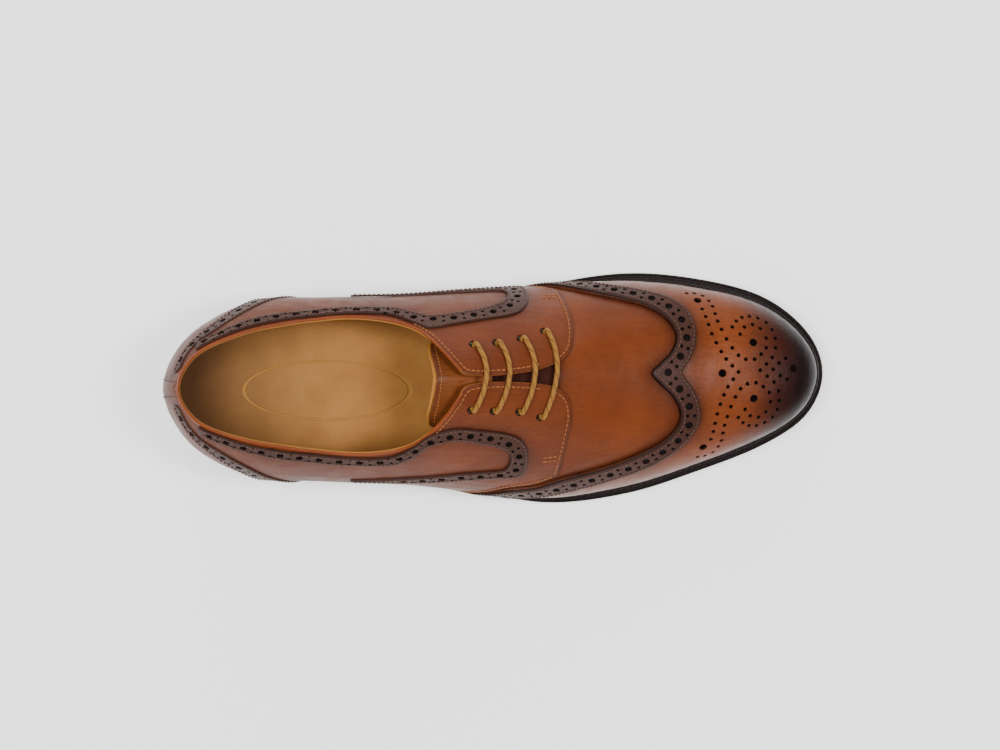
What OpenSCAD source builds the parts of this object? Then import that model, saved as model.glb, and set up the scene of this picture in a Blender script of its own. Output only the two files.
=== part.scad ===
// Men's right lace-up shoe: open-laced derby with a perforated wing cap, welted sole and stacked heel.
// +X runs to the toe, +Y to the inner (medial) side and +Z up; the floor is z = 0.

/* [Last] */
// Overall length of the shoe
shoe_length = 304; // [296:1:312]

/* [Upper] */
// Thickness of the upper leather
leather_t = 1.2; // [1:0.1:1.3]
// Thickness of the heel stiffener, toe puff, vamp and facing stays
stiffener_t = 1.2; // [1:0.1:1.3]
// Thickness of the lining leather
lining_t = 0.9; // [0.7:0.1:1]
// Thickness of the perforated bands laid on the upper
band_t = 1; // [0.6:0.1:1.2]
// Gap left between one layer and the next
layer_gap = 0.25; // [0.2:0.01:0.3]
// Depth of the tongue's outer face below the outside of the facings
tongue_depth = 7.8; // [7.7:0.1:8.2]

/* [Sole] */
// Thickness of the outsole
outsole_t = 4.5; // [4:0.5:5]
// Thickness of the welt
welt_t = 3; // [2.5:0.5:3]
// How far the welt runs in under the upper
welt_inset = 4; // [3:0.5:4.5]
// Thickness of the insole board
insole_t = 2.5; // [2:0.1:3]
// Thickness of the sock liner
sock_t = 1.2; // [0.8:0.1:1.5]
// Width of the steel shank
shank_w = 13; // [10:1:16]
// Thickness of the steel shank
shank_t = 1.2; // [1:0.1:1.5]

/* [Heel] */
// Thickness of the rubber top piece
top_piece_t = 6; // [5:0.5:7]
// Thickness of the lower lift
lower_lift_t = 6.5; // [6:0.5:7]
// Distance from the heel's back to its breast
heel_length = 68; // [62:1:72]
// Radius of a heel nail
nail_r = 1; // [0.8:0.1:1.2]

/* [Lacing] */
// Diameter of the round waxed lace
lace_d = 2.5; // [2.2:0.1:2.5]
// Inner radius of an eyelet
eyelet_bore_r = 1.9; // [1.8:0.1:1.9]
// Wall of an eyelet
eyelet_wall = 0.35; // [0.3:0.05:0.4]
// Diameter of an aglet
aglet_d = 2.9; // [2.7:0.1:2.9]

/* [Hidden] */

// ---- The last -------------------------------------------------------------------------------
// Stations round the feather line from the back of the heel to the toe tip: plan x, plan y, the x
// of the spine point above, bulge of the wall, height share of the bulge, width share of the
// shoulder, and how far the sole stands out past the upper.
LATERAL = [
    [-147.5, 0, -110, 12, .38, .72, 1.6], [-142.5, -15, -108, 12, .38, .70, 1.6],
    [-130, -27, -103, 15, .37, .66, 1.6], [-106, -34.5, -92, 21, .36, .60, 1.6],
    [-75, -35, -70, 24, .34, .54, 2.0], [-43, -37.5, -42, 23, .34, .48, 2.6],
    [-10, -44.5, -10, 17, .40, .44, 4.0], [24, -49.5, 24, 11, .45, .46, 5.0],
    [60, -45.2, 58, 6, .55, .52, 5.0], [93, -34.6, 86, 5, .60, .58, 5.0],
    [122, -23, 104, 4, .62, .62, 4.8], [141, -10, 113, 4, .62, .66, 4.6],
    [147.8, 7, 117, 4, .62, .68, 4.5]
];
MEDIAL = [
    [-147.5, 0, -110, 12, .38, .72, 1.6], [-142.5, 15, -108, 12, .38, .70, 1.6],
    [-130, 26, -103, 15, .37, .66, 1.6], [-106, 33, -92, 23, .36, .60, 1.6],
    [-75, 32, -70, 28, .34, .54, 1.6], [-43, 31, -42, 32, .34, .48, 2.0],
    [-10, 36, -10, 28, .40, .44, 3.0], [24, 44, 24, 16, .45, .46, 5.0],
    [60, 48.8, 58, 8, .55, .52, 5.6], [93, 46.2, 86, 5, .60, .58, 5.6],
    [122, 38.6, 104, 4, .62, .62, 5.2], [141, 24, 113, 4, .62, .66, 4.8],
    [147.8, 7, 117, 4, .62, .68, 4.5]
];
STATIONS = 24;
TOE = 12;
LAST = concat(LATERAL, [for (i = [TOE - 1:-1:1]) MEDIAL[i]]);

// Height and sideways place of the spine, and height of the outsole's underside, each against x
SPINE_Z = [
    [-112, 98], [-80, 97.5], [-50, 97], [-25, 93.5], [0, 83], [30, 69], [60, 56.5], [90, 47.5],
    [110, 42.5], [120, 39.5]
];
SPINE_Y = [[-112, 0], [-60, 1.5], [-20, 4.5], [10, 6], [40, 6.5], [80, 7], [120, 7]];
SOLE_Z = [
    [-155, 22.2], [-115, 20.7], [-82, 19.5], [-50, 14.2], [-20, 7], [0, 3], [20, .3], [35, 0],
    [52, 0], [75, .8], [105, 3.2], [130, 6.2], [156, 10]
];

design_length = 304;
k = shoe_length / design_length;
// Moves the whole shoe so that its box is centred over the origin
centre = [-.16, .03, 0];
feather_h = outsole_t + welt_t;
// Clearance between the welt and the upper's lower edge
seat_gap = .2;

function cubic(p0, p1, p2, p3, f) =
    .5 * (2 * p1 + (p2 - p0) * f + (2 * p0 - 5 * p1 + 4 * p2 - p3) * f * f
    + (3 * p1 - p0 - 3 * p2 + p3) * f * f * f);

function station(a) =
    let (w = a + 2 * STATIONS, i = floor(w), f = w - i)
    cubic(LAST[(i - 1) % STATIONS], LAST[i % STATIONS], LAST[(i + 1) % STATIONS],
          LAST[(i + 2) % STATIONS], f);

function slope(tab, i) =
    let (lo = max(i - 1, 0), hi = min(i + 1, len(tab) - 1))
    (tab[hi][1] - tab[lo][1]) / (tab[hi][0] - tab[lo][0]);

// A smooth curve through a table of [x, value]
function along(tab, x) =
    let (
        i = max([0, for (j = [0:len(tab) - 2]) if (tab[j][0] <= x) j]),
        step = tab[i + 1][0] - tab[i][0],
        f = (x - tab[i][0]) / step,
        f2 = f * f,
        f3 = f2 * f
    )
    (2 * f3 - 3 * f2 + 1) * tab[i][1] + (f3 - 2 * f2 + f) * step * slope(tab, i)
    + (3 * f2 - 2 * f3) * tab[i + 1][1] + (f3 - f2) * step * slope(tab, i + 1);

// Step over which the spine's pitch is taken
x_step = .5;

// The outside of the upper: a runs round the feather line, t from the feather (0) to the spine (1)
function skin(a, t) =
    let (
        s = station(a),
        ty = along(SPINE_Y, s[2]),
        tz = along(SPINE_Z, s[2]),
        pitch = (along(SPINE_Z, s[2] + x_step) - along(SPINE_Z, s[2] - x_step)) / (2 * x_step),
        fz = along(SOLE_Z, s[0]) + feather_h + seat_gap,
        reach = norm([s[0] - s[2], s[1] - ty]),
        dir = [s[0] - s[2], s[1] - ty] / reach,
        w = 1 - t,
        b0 = w * w * w,
        b1 = 3 * w * w * t,
        b2 = 3 * w * t * t,
        b3 = t * t * t,
        r = b0 * reach + b1 * (reach + s[3]) + b2 * s[5] * reach,
        z = b0 * fz + b1 * (fz + s[4] * (tz - fz)) + b2 * (tz + pitch * dir[0] * s[5] * reach) + b3 * tz
    )
    [k * (s[2] + dir[0] * r), k * (ty + dir[1] * r), z] + centre;

// Steps over which the skin's slopes are taken, and the highest t at which they still hold
a_step = .05;
t_step = .02;
spine_guard = .96;
function normal(a, t) =
    let (
        tt = min(t, spine_guard),
        across = skin(a + a_step, tt) - skin(a - a_step, tt),
        up = skin(a, tt + t_step) - skin(a, tt - t_step),
        n = cross(across, up)
    )
    n / norm(n);

// Chart of the upper: u from the heel's back (0) to the toe (12), v from the lateral feather (-1)
// over the spine (0) to the medial feather (1), h outwards from the skin
function ring_of(u, v) = v < 0 ? u : STATIONS - u;
function at(p, h) = skin(ring_of(p[0], p[1]), 1 - abs(p[1])) + h * normal(ring_of(p[0], p[1]), 1 - abs(p[1]));

// ---- Sheets -----------------------------------------------------------------------------------
function lerp(p, q, f) = p + (q - p) * f;

// A point at share f along a smooth curve through a list of points
function through(pts, f) =
    let (
        last = len(pts) - 1,
        x = f * last,
        i = min(floor(x), last - 1)
    )
    cubic(pts[max(i - 1, 0)], pts[i], pts[i + 1], pts[min(i + 2, last)], x - i);

// Grid of chart points that fills the space between four edges
function patch(low, high, back, front, m, n) =
    [for (i = [0:m]) [for (j = [0:n])
        let (x = i / m, y = j / n)
        lerp(through(low, x), through(high, x), y) + lerp(through(back, y), through(front, y), x)
        - lerp(lerp(back[0], front[0], x), lerp(back[len(back) - 1], front[len(front) - 1], x), y)
    ]];

// Grid between two edges
function ribbon(one, two, m, n) =
    [for (i = [0:m]) [for (j = [0:n]) lerp(through(one, i / m), through(two, i / m), j / n)]];

function columns(grid, first, last) = [for (i = [first:last]) grid[i]];
function rows(grid, first, last) = [for (col = grid) [for (j = [first:last]) col[j]]];
function mirrored(pts) = [for (p = pts) [p[0], -p[1]]];

// A closed sheet over a grid, from depth h0 to depth h1; a folded sheet closes along the toe line
module sheet(grid, h0, h1, folded = false) {
    m = len(grid) - 1;
    n = len(grid[0]) - 1;
    count = (m + 1) * (n + 1);
    function id(i, j) = i * (n + 1) + (folded && i == m ? min(j, n - j) : j);
    mid = [floor(m / 2), floor(n / 2)];
    base = at(grid[mid[0]][mid[1]], 0);
    turn = cross(at(grid[mid[0] + 1][mid[1]], 0) - base, at(grid[mid[0]][mid[1] + 1], 0) - base)
        * (at(grid[mid[0]][mid[1]], 1) - base);
    cells = [for (i = [0:m - 1]) for (j = [0:n - 1])
        [id(i, j), id(i + 1, j), id(i + 1, j + 1), id(i, j + 1)]];
    tris = [for (c = cells) each [[c[0], c[1], c[2]], [c[0], c[2], c[3]]]];
    rim = concat(
        [for (i = [0:m - 1]) [id(i, 0), id(i + 1, 0)]],
        folded ? [] : [for (j = [0:n - 1]) [id(m, j), id(m, j + 1)]],
        [for (i = [m:-1:1]) [id(i, n), id(i - 1, n)]],
        [for (j = [n:-1:1]) [id(0, j), id(0, j - 1)]]
    );
    wall = [for (e = rim) each [[e[0], e[1], e[1] + count], [e[0], e[1] + count, e[0] + count]]];
    inner = [for (t = tris) [t[0] + count, t[1] + count, t[2] + count]];
    outer = [for (t = tris) [t[2], t[1], t[0]]];
    faces = concat(outer, inner, wall);
    flip = [for (f = faces) [f[2], f[1], f[0]]];
    points = concat([for (col = grid) for (p = col) at(p, h1)], [for (col = grid) for (p = col) at(p, h0)]);
    polyhedron(points, turn > 0 ? faces : flip, convexity = 8);
}

// Depths of the layers below the outside of the upper
stiff_out = -leather_t - layer_gap;
stiff_in = stiff_out - stiffener_t;
lining_out = stiff_in - layer_gap;
lining_in = lining_out - lining_t;
band_in = layer_gap + .1;
band_out = band_in + band_t;

// ---- Outlines on the chart ---------------------------------------------------------------------
function side(s, pts) = [for (p = pts) [p[0], s * (1 - p[1])]];
lateral = -1;
medial = 1;

// Topline from the back of the heel to the facing corner, as [u, t]
TOP_LATERAL = [
    [0, .58], [.6, .585], [1.2, .60], [1.9, .63], [2.6, .645], [3.2, .635], [3.75, .60], [4.3, .572],
    [4.75, .575], [5.1, .61], [5.35, .67], [5.6, .77], [5.78, .87], [5.9, .945]
];
TOP_MEDIAL = [
    [0, .58], [.6, .578], [1.2, .582], [1.9, .595], [2.6, .605], [3.2, .59], [3.75, .55], [4.3, .528],
    [4.75, .55], [5.1, .60], [5.35, .67], [5.6, .79], [5.78, .90], [5.9, .97]
];
FACING_LATERAL = [[6.2, .963], [6.5, .96], [6.8, .95], [6.97, .938]];
FACING_MEDIAL = [[6.2, .99], [6.5, .985], [6.8, .96], [6.97, .93]];
FRONT_LATERAL = [[7.08, .43], [7.14, .54], [7.2, .66], [7.25, .77], [7.22, .86], [7.12, .91], [6.97, .938]];
FRONT_MEDIAL = [[7.08, .34], [7.17, .46], [7.25, .6], [7.27, .73], [7.23, .83], [7.13, .89], [6.97, .93]];
LOW_LATERAL = [
    [0, 0], [1.4, 0], [2.8, 0], [4, 0], [4.9, 0], [5.3, .035], [5.7, .13], [6.1, .235], [6.42, .325],
    [6.8, .375], [7.08, .43]
];
LOW_MEDIAL = [
    [0, 0], [1.4, 0], [2.8, 0], [4.2, 0], [5.2, 0], [5.95, 0], [6.25, .06], [6.55, .15], [6.8, .23],
    [7.08, .34]
];
quarter_m = 26;
quarter_n = 8;

function quarter_grid(s, low, top, facing, front) =
    patch(side(s, low), side(s, concat(top, facing)), side(s, [low[0], top[0]]), side(s, front),
          quarter_m, quarter_n);
GRID_LATERAL = quarter_grid(lateral, LOW_LATERAL, TOP_LATERAL, FACING_LATERAL, FRONT_LATERAL);
GRID_MEDIAL = quarter_grid(medial, LOW_MEDIAL, TOP_MEDIAL, FACING_MEDIAL, FRONT_MEDIAL);

// Rear edge of the wing cap against v: two scallops with a point between them, and long wings
CAP_REAR = [
    [-1, 5.3], [-.9, 5.7], [-.8, 6.1], [-.71, 6.42], [-.66, 6.8], [-.6, 7.15], [-.55, 7.7], [-.5, 8.1],
    [-.44, 8.45], [-.37, 8.66], [-.29, 8.77], [-.21, 8.77], [-.13, 8.67], [-.06, 8.5], [0, 8.38],
    [.06, 8.5], [.13, 8.65], [.22, 8.72], [.3, 8.67], [.4, 8.5], [.48, 8.24], [.54, 7.9], [.6, 7.57],
    [.69, 7.22], [.8, 6.9], [.9, 6.5], [1, 6.2]
];
// Front edge of the dark band that borders the cap, paired with the points of its rear edge
BAND_REAR = [
    [6.1, -.8], [6.42, -.71], [6.8, -.66], [7.15, -.6], [7.7, -.55], [8.1, -.5], [8.45, -.44],
    [8.66, -.37], [8.77, -.29], [8.77, -.21], [8.67, -.13], [8.5, -.06], [8.38, 0], [8.5, .06],
    [8.65, .13], [8.72, .22], [8.67, .3], [8.5, .4], [8.24, .48], [7.9, .54], [7.57, .6], [7.22, .69],
    [6.9, .8]
];
BAND_FRONT = [
    [6.22, -.9], [6.6, -.81], [6.95, -.76], [7.3, -.71], [7.85, -.66], [8.3, -.61], [8.68, -.52],
    [8.94, -.41], [9.08, -.31], [9.1, -.2], [9.03, -.1], [8.93, -.04], [8.86, 0], [8.9, .04], [9, .11],
    [9.03, .22], [8.98, .34], [8.8, .48], [8.5, .58], [8.1, .64], [7.75, .69], [7.38, .78], [7.05, .88]
];
// Loop of dark band round the quarter's window, from the heel along the collar, round the facing
// corner and back along the waist: outer and inner edge as [u, t]
LOOP_OUT_LATERAL = [
    [1.5, .59], [2.2, .615], [3.0, .612], [3.6, .58], [4.2, .548], [4.8, .55], [5.15, .61], [5.4, .68],
    [5.75, .715], [6.1, .705], [6.42, .69], [6.6, .66], [6.68, .60], [6.68, .52], [6.58, .44],
    [6.2, .415], [5.8, .39], [5.3, .345], [4.8, .315], [4.3, .315]
];
LOOP_IN_LATERAL = [
    [1.7, .54], [2.3, .562], [2.95, .558], [3.5, .53], [4.15, .495], [4.85, .497], [5.15, .545],
    [5.38, .615], [5.75, .65], [6.05, .635], [6.3, .617], [6.42, .597], [6.46, .565], [6.44, .52],
    [6.36, .48], [6.1, .46], [5.75, .44], [5.3, .40], [4.8, .36], [4.3, .33]
];
LOOP_OUT_MEDIAL = [
    [1.5, .56], [2.2, .572], [3.0, .568], [3.6, .532], [4.2, .502], [4.8, .52], [5.15, .585],
    [5.4, .635], [5.75, .62], [6.1, .60], [6.42, .582], [6.6, .55], [6.69, .48], [6.69, .38],
    [6.6, .28], [6.25, .27], [5.8, .27], [5.3, .255], [4.8, .24], [4.3, .25]
];
LOOP_IN_MEDIAL = [
    [1.7, .515], [2.3, .525], [2.95, .515], [3.5, .49], [4.15, .455], [4.85, .468], [5.18, .515],
    [5.42, .55], [5.75, .54], [6.05, .52], [6.28, .49], [6.38, .46], [6.42, .42], [6.4, .37],
    [6.3, .335], [6.05, .325], [5.75, .32], [5.3, .305], [4.8, .28], [4.3, .265]
];
// Band that sweeps from the back of the collar down to the waist: upper and lower edge as [u, t]
COUNTER_HIGH = [
    [.75, .55], [1.2, .53], [1.8, .508], [2.4, .483], [2.9, .42], [3.3, .31], [3.6, .17], [3.75, .06]
];
COUNTER_LOW = [
    [.5, .50], [1, .475], [1.6, .448], [2.1, .42], [2.55, .365], [2.9, .27], [3.15, .15], [3.3, .05]
];
// Half width of the strip over the back seam, and where it starts and ends up the heel
backstay_u = .3;
BACKSTAY_T = [.06, .55];

// ---- Upper -------------------------------------------------------------------------------------
// Eyelets from the toe end backwards, as chart points
EYELETS_LATERAL = [[6.87, -.225], [6.6, -.2], [6.27, -.197], [5.98, -.19]];
EYELETS_MEDIAL = [[6.92, .31], [6.62, .27], [6.3, .254], [6.0, .25]];
eyelet_r = eyelet_bore_r + eyelet_wall;
hole_clearance = .1;
drill_in = 9;
drill_out = 5;

// Stands a child on the skin at a chart point, its z axis along the normal
module on_skin(p) {
    n = at(p, 1) - at(p, 0);
    translate(at(p, 0)) rotate([0, acos(n[2]), atan2(n[1], n[0])]) children();
}

module eyelet_holes(eyelets) {
    for (p = eyelets) {
        on_skin(p) translate([0, 0, -drill_in])
            cylinder(h = drill_in + drill_out, r = eyelet_r + hole_clearance, $fn = 24);
    }
}

module quarter(grid, eyelets) {
    difference() {
        sheet(grid, -leather_t, 0);
        eyelet_holes(eyelets);
    }
}

module quarter_lateral() {
    color([.62, .34, .16]) quarter(GRID_LATERAL, EYELETS_LATERAL);
}

module quarter_medial() {
    color([.62, .34, .16]) quarter(GRID_MEDIAL, EYELETS_MEDIAL);
}

// Stays under the facings, on the same grid lines as the quarters
stay_column = 16;
stay_row = 4;

module facing_stay(grid, eyelets) {
    difference() {
        sheet(rows(columns(grid, stay_column, quarter_m - 2), stay_row, quarter_n), stiff_in, stiff_out);
        eyelet_holes(eyelets);
    }
}

module facing_stay_lateral() {
    color([.8, .72, .58]) facing_stay(GRID_LATERAL, EYELETS_LATERAL);
}

module facing_stay_medial() {
    color([.8, .72, .58]) facing_stay(GRID_MEDIAL, EYELETS_MEDIAL);
}

// One lining for both quarters, on their grid lines, round the back of the heel
module quarter_lining() {
    turned = [for (i = [quarter_m - 2:-1:1]) GRID_LATERAL[i]];
    color([.78, .58, .33]) difference() {
        sheet(concat(turned, columns(GRID_MEDIAL, 0, quarter_m - 2)), lining_in, lining_out);
        eyelet_holes(EYELETS_LATERAL);
        eyelet_holes(EYELETS_MEDIAL);
    }
}

stiffener_columns = 12;
stiffener_rows = 6;

module heel_stiffener() {
    turned = [for (i = [stiffener_columns:-1:1]) GRID_LATERAL[i]];
    both = concat(turned, columns(GRID_MEDIAL, 0, stiffener_columns));
    color([.55, .45, .33]) sheet(rows(both, 0, stiffener_rows), stiff_in, stiff_out);
}

// Rolled binding over the raw edges of quarters and lining
binding_low = .004;
binding_high = .018;
binding_m = 30;

function raised(pts, rise) = [for (p = pts) [p[0], p[1] + rise]];

module collar_binding() {
    back_round = [for (i = [len(TOP_LATERAL) - 1:-1:0]) TOP_LATERAL[i]];
    function edge(rise) = concat(
        [for (f = [0:binding_m]) side(lateral, [through(raised(back_round, rise), f / binding_m)])[0]],
        [for (f = [1:binding_m]) side(medial, [through(raised(TOP_MEDIAL, rise), f / binding_m)])[0]]
    );
    low = edge(binding_low);
    high = edge(binding_high);
    color([.72, .42, .18]) sheet([for (i = [0:len(low) - 1]) [low[i], high[i]]], lining_in, 0);
}

band_columns = 40;
band_rows = 1;

module quarter_band(s, outer, inner) {
    sheet(ribbon(side(s, outer), side(s, inner), band_columns, band_rows), band_in, band_out);
}

module quarter_band_lateral() {
    color([.36, .21, .17]) quarter_band(lateral, LOOP_OUT_LATERAL, LOOP_IN_LATERAL);
}

module quarter_band_medial() {
    color([.36, .21, .17]) quarter_band(medial, LOOP_OUT_MEDIAL, LOOP_IN_MEDIAL);
}

counter_columns = 16;

module counter_band(s) {
    sheet(ribbon(side(s, COUNTER_HIGH), side(s, COUNTER_LOW), counter_columns, band_rows), band_in, band_out);
}

module counter_band_lateral() {
    color([.36, .21, .17]) counter_band(lateral);
}

module counter_band_medial() {
    color([.36, .21, .17]) counter_band(medial);
}

// Strip down the back seam, from one side of the heel to the other
module backstay() {
    shares = [-1, -.5, 0, .5, 1];
    grid = [for (i = [0:quarter_n]) [for (f = shares)
        let (t = lerp(BACKSTAY_T[0], BACKSTAY_T[1], i / quarter_n))
        [abs(f) * backstay_u, f < 0 ? t - 1 : 1 - t]]];
    color([.5, .27, .13]) sheet(grid, band_in, band_out);
}

// Front of the shoe: every layer keeps the same v lines
cap_columns = 28;
rear_rows = 10;
vamp_rear_u = 7.08;
vamp_lining_rear_u = 7.14;
vamp_rows = 5;
// How far the vamp runs in under the cap, and the least u it reaches at the sides
cap_lap = .35;
vamp_side_u = 7.4;
wing_band_columns = 44;
// Lines that the cap, the puff and the lining share round the toe
TOE_ROWS = [9.35, 9.8, 10.25, 10.7, 11.1, 11.45, 11.75, 12];

function cap_v(j) = 2 * j / cap_columns - 1;
CAP_REAR_U = [for (j = [0:cap_columns]) along(CAP_REAR, cap_v(j))];
function toe_grid() = [for (u = TOE_ROWS) [for (j = [0:cap_columns]) [u, cap_v(j)]]];
function front_grid(rear, fore, m) =
    [for (i = [0:m]) [for (j = [0:cap_columns]) [lerp(rear[j], fore[j], i / m), cap_v(j)]]];
function whole_front(rear) =
    let (fore = [for (u = rear) TOE_ROWS[0]], back = front_grid(rear, fore, rear_rows))
    concat(columns(back, 0, rear_rows - 1), toe_grid());

module wing_cap() {
    color([.6, .33, .15]) sheet(whole_front(CAP_REAR_U), -leather_t, 0, folded = true);
}

module wing_band() {
    grid = ribbon(BAND_REAR, BAND_FRONT, wing_band_columns, band_rows);
    color([.36, .21, .17]) sheet(grid, band_in, band_out);
}

module vamp() {
    rear = [for (u = CAP_REAR_U) vamp_rear_u];
    fore = [for (u = CAP_REAR_U) max(u, vamp_side_u) + cap_lap];
    color([.64, .36, .17]) sheet(front_grid(rear, fore, vamp_rows), stiff_in, stiff_out);
}

module toe_puff() {
    color([.55, .45, .33]) sheet(toe_grid(), stiff_in, stiff_out, folded = true);
}

module vamp_lining() {
    rear = [for (u = CAP_REAR_U) vamp_lining_rear_u];
    color([.78, .58, .33]) sheet(whole_front(rear), lining_in, lining_out, folded = true);
}

// Tongue, wide at its free end: chart points of its two sides and its ends
tongue_t = 1.1;
tongue_lining_t = .8;
TONGUE_LATERAL = [[7.2, -.24], [6.6, -.29], [6.0, -.33], [5.4, -.36]];
TONGUE_MEDIAL = [[7.2, .26], [6.6, .32], [6.0, .37], [5.4, .38]];
TONGUE_END = [[5.4, -.36], [5.52, -.2], [5.58, 0], [5.52, .2], [5.4, .38]];
TONGUE_BASE = [[7.2, -.24], [7.2, -.12], [7.2, 0], [7.2, .12], [7.2, .26]];
tongue_m = 12;
tongue_n = 10;
TONGUE_GRID = patch(TONGUE_LATERAL, TONGUE_MEDIAL, TONGUE_BASE, TONGUE_END, tongue_m, tongue_n);

module tongue() {
    color([.66, .38, .17]) sheet(TONGUE_GRID, -tongue_depth - tongue_t, -tongue_depth);
}

module tongue_lining() {
    top = -tongue_depth - tongue_t - layer_gap;
    color([.78, .58, .33]) sheet(TONGUE_GRID, top - tongue_lining_t, top);
}

// ---- Lacing ------------------------------------------------------------------------------------
flange_r = 3.1;
flange_t = .35;
flange_gap = .35;
tube_top = .5;

module eyelet() {
    rotate_extrude($fn = 32) {
        translate([eyelet_bore_r, lining_in - flange_gap - flange_t])
            square([eyelet_wall, -lining_in + flange_gap + flange_t - tube_top]);
        translate([eyelet_bore_r, lining_in - flange_gap - flange_t])
            square([flange_r - eyelet_bore_r, flange_t]);
    }
}

module eyelets_lateral() {
    color([.5, .4, .25]) for (p = EYELETS_LATERAL) on_skin(p) eyelet();
}

module eyelets_medial() {
    color([.5, .4, .25]) for (p = EYELETS_MEDIAL) on_skin(p) eyelet();
}

// Heights of a bar over the facing: in the eyelet, at its mouth, beside it and at mid span
bore_h = -1.5;
mouth_h = .5;
shoulder_h = 1.6;
bar_h = 1.75;
bar_middle_h = 1.5;
// Shares of a bar's span at its shoulder and its quarter, and how far u it bows towards the toe
shoulder_f = .08;
quarter_f = .25;
bar_bow = .15;
quarter_bow = .75 * bar_bow;
// How far below the lining the lace turns, its gap to the eyelets, and the dip and ends of a run
turn_depth = 1.2;
run_gap = .15;
run_dip = .1;
run_f = .18;
run_h = lining_in - flange_gap - flange_t - lace_d / 2 - run_gap;

// Points over one bar, from one eyelet to the other
function bar(p, q) = [
    at(p, lining_in - turn_depth), at(p, bore_h), at(p, mouth_h), at(lerp(p, q, shoulder_f), shoulder_h),
    at(lerp(p, q, quarter_f) + [quarter_bow, 0], bar_h), at(lerp(p, q, .5) + [bar_bow, 0], bar_middle_h),
    at(lerp(q, p, quarter_f) + [quarter_bow, 0], bar_h), at(lerp(q, p, shoulder_f), shoulder_h),
    at(q, mouth_h), at(q, bore_h), at(q, lining_in - turn_depth)
];
// Points of a run under the facing, between two eyelets
function run(p, q) =
    [at(lerp(p, q, run_f), run_h), at(lerp(p, q, .5), run_h - run_dip), at(lerp(q, p, run_f), run_h)];

L = EYELETS_LATERAL;
M = EYELETS_MEDIAL;
TAIL_FRONT = [[6.6, -.335], [6.72, -.33], [6.83, -.31], [6.87, -.27]];
TAIL_REAR = [[6.0, -.25], [6.03, -.32], [6.1, -.385], [6.25, -.415], [6.45, -.42]];
AGLET_FRONT = [[6.58, -.335], [6.26, -.33]];
AGLET_REAR = [[6.47, -.42], [6.8, -.42]];
ROUTE = concat(
    [for (p = TAIL_FRONT) at(p, run_h)], bar(L[0], M[0]), run(M[0], M[1]), bar(M[1], L[1]),
    run(L[1], L[2]), bar(L[2], M[2]), run(M[2], M[3]), bar(M[3], L[3]), [for (p = TAIL_REAR) at(p, run_h)]
);

function unit(v) = v / norm(v);
function across_of(dir, seed) = unit(seed - dir * (seed * dir));

// A tube of the given radius along a smooth curve through points
module tube(pts, r, steps, sides) {
    last = len(pts) - 1;
    count = last * steps;
    path = [for (i = [0:count]) through(pts, i / count)];
    dirs = [for (i = [0:count]) unit(path[min(i + 1, count)] - path[max(i - 1, 0)])];
    ups = [for (i = 0, up = across_of(dirs[0], [.3, .2, 1]); i <= count;
                i = i + 1, up = across_of(dirs[min(i, count)], up)) up];
    ring = [for (i = [0:count]) for (s = [0:sides - 1])
        let (angle = 360 * s / sides)
        path[i] + r * (cos(angle) * ups[i] + sin(angle) * cross(dirs[i], ups[i]))];
    walls = [for (i = [0:count - 1]) for (s = [0:sides - 1])
        let (next = (s + 1) % sides, b = i * sides)
        each [[b + s, b + sides + s, b + next], [b + next, b + sides + s, b + sides + next]]];
    ends = [[for (s = [0:sides - 1]) s], [for (s = [sides - 1:-1:0]) count * sides + s]];
    polyhedron(ring, concat(walls, ends), convexity = 10);
}

module lace() {
    color([.74, .55, .26]) tube(ROUTE, lace_d / 2, 2, 8);
}

module aglets() {
    color([.7, .62, .45]) {
        tube([for (p = AGLET_FRONT) at(p, run_h)], aglet_d / 2, 2, 12);
        tube([for (p = AGLET_REAR) at(p, run_h)], aglet_d / 2, 2, 12);
    }
}

// ---- Bottom ------------------------------------------------------------------------------------
outline_points = 96;
heel_back_x = -149.5;
breast_x = heel_back_x + heel_length;
breast_r = 70;
breast_depth = 3;
// Insets of the heel's layers from the edge of the outsole
upper_lift_inset = .4;
lower_lift_inset = .6;
top_piece_inset = .9;
rand_gap = .3;
cork_gap = .3;
sock_gap = .1;
// Insets of the insole board and the sock from the feather line
insole_inset = 4.8;
sock_inset = 5.4;
// Reach of the shapes that cut or bound the soles
SOLE_X = [-160, 160];
profile_step = 8;
above_all = 120;
far = 400;

// Plan outline: the feather line moved outwards by a share of the sole margin plus a distance
function rim_point(a, share, out) =
    let (
        s = station(a),
        d = station(a + .04) - station(a - .04),
        n = [d[1], -d[0]] / norm([d[0], d[1]]),
        e = share * s[6] + out
    )
    [k * s[0] + n[0] * e + centre[0], k * s[1] + n[1] * e + centre[1]];

module outline(share, out) {
    polygon([for (i = [0:outline_points - 1]) rim_point(STATIONS * i / outline_points, share, out)]);
}

// Everything between two heights above the outsole's underside curve
module layer(low, high) {
    xs = [for (x = [SOLE_X[0]:profile_step:SOLE_X[1]]) x];
    top = [for (x = xs) [k * x + centre[0], along(SOLE_Z, x) + high]];
    bottom = [for (i = [len(xs) - 1:-1:0]) [k * xs[i] + centre[0], along(SOLE_Z, xs[i]) + low]];
    translate([0, far / 2, 0]) rotate([90, 0, 0]) linear_extrude(far) polygon(concat(top, bottom));
}

module slab(share, out, low, high) {
    intersection() {
        linear_extrude(above_all) outline(share, out);
        layer(low, high);
    }
}

module outsole() {
    color([.2, .13, .11]) slab(1, 0, 0, outsole_t);
}

module rim_strip() {
    intersection() {
        linear_extrude(above_all) difference() {
            outline(1, 0);
            outline(0, -welt_inset);
        }
        layer(outsole_t, feather_h);
    }
}

module behind(x) {
    translate([x - far, -far / 2, -far / 2]) cube(far);
}

// The welt goes round the front, from heel breast to heel breast
module welt() {
    color([.25, .16, .12]) difference() {
        rim_strip();
        behind(breast_x);
    }
}

module heel_rand() {
    color([.25, .16, .12]) intersection() {
        rim_strip();
        behind(breast_x - rand_gap);
    }
}

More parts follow.
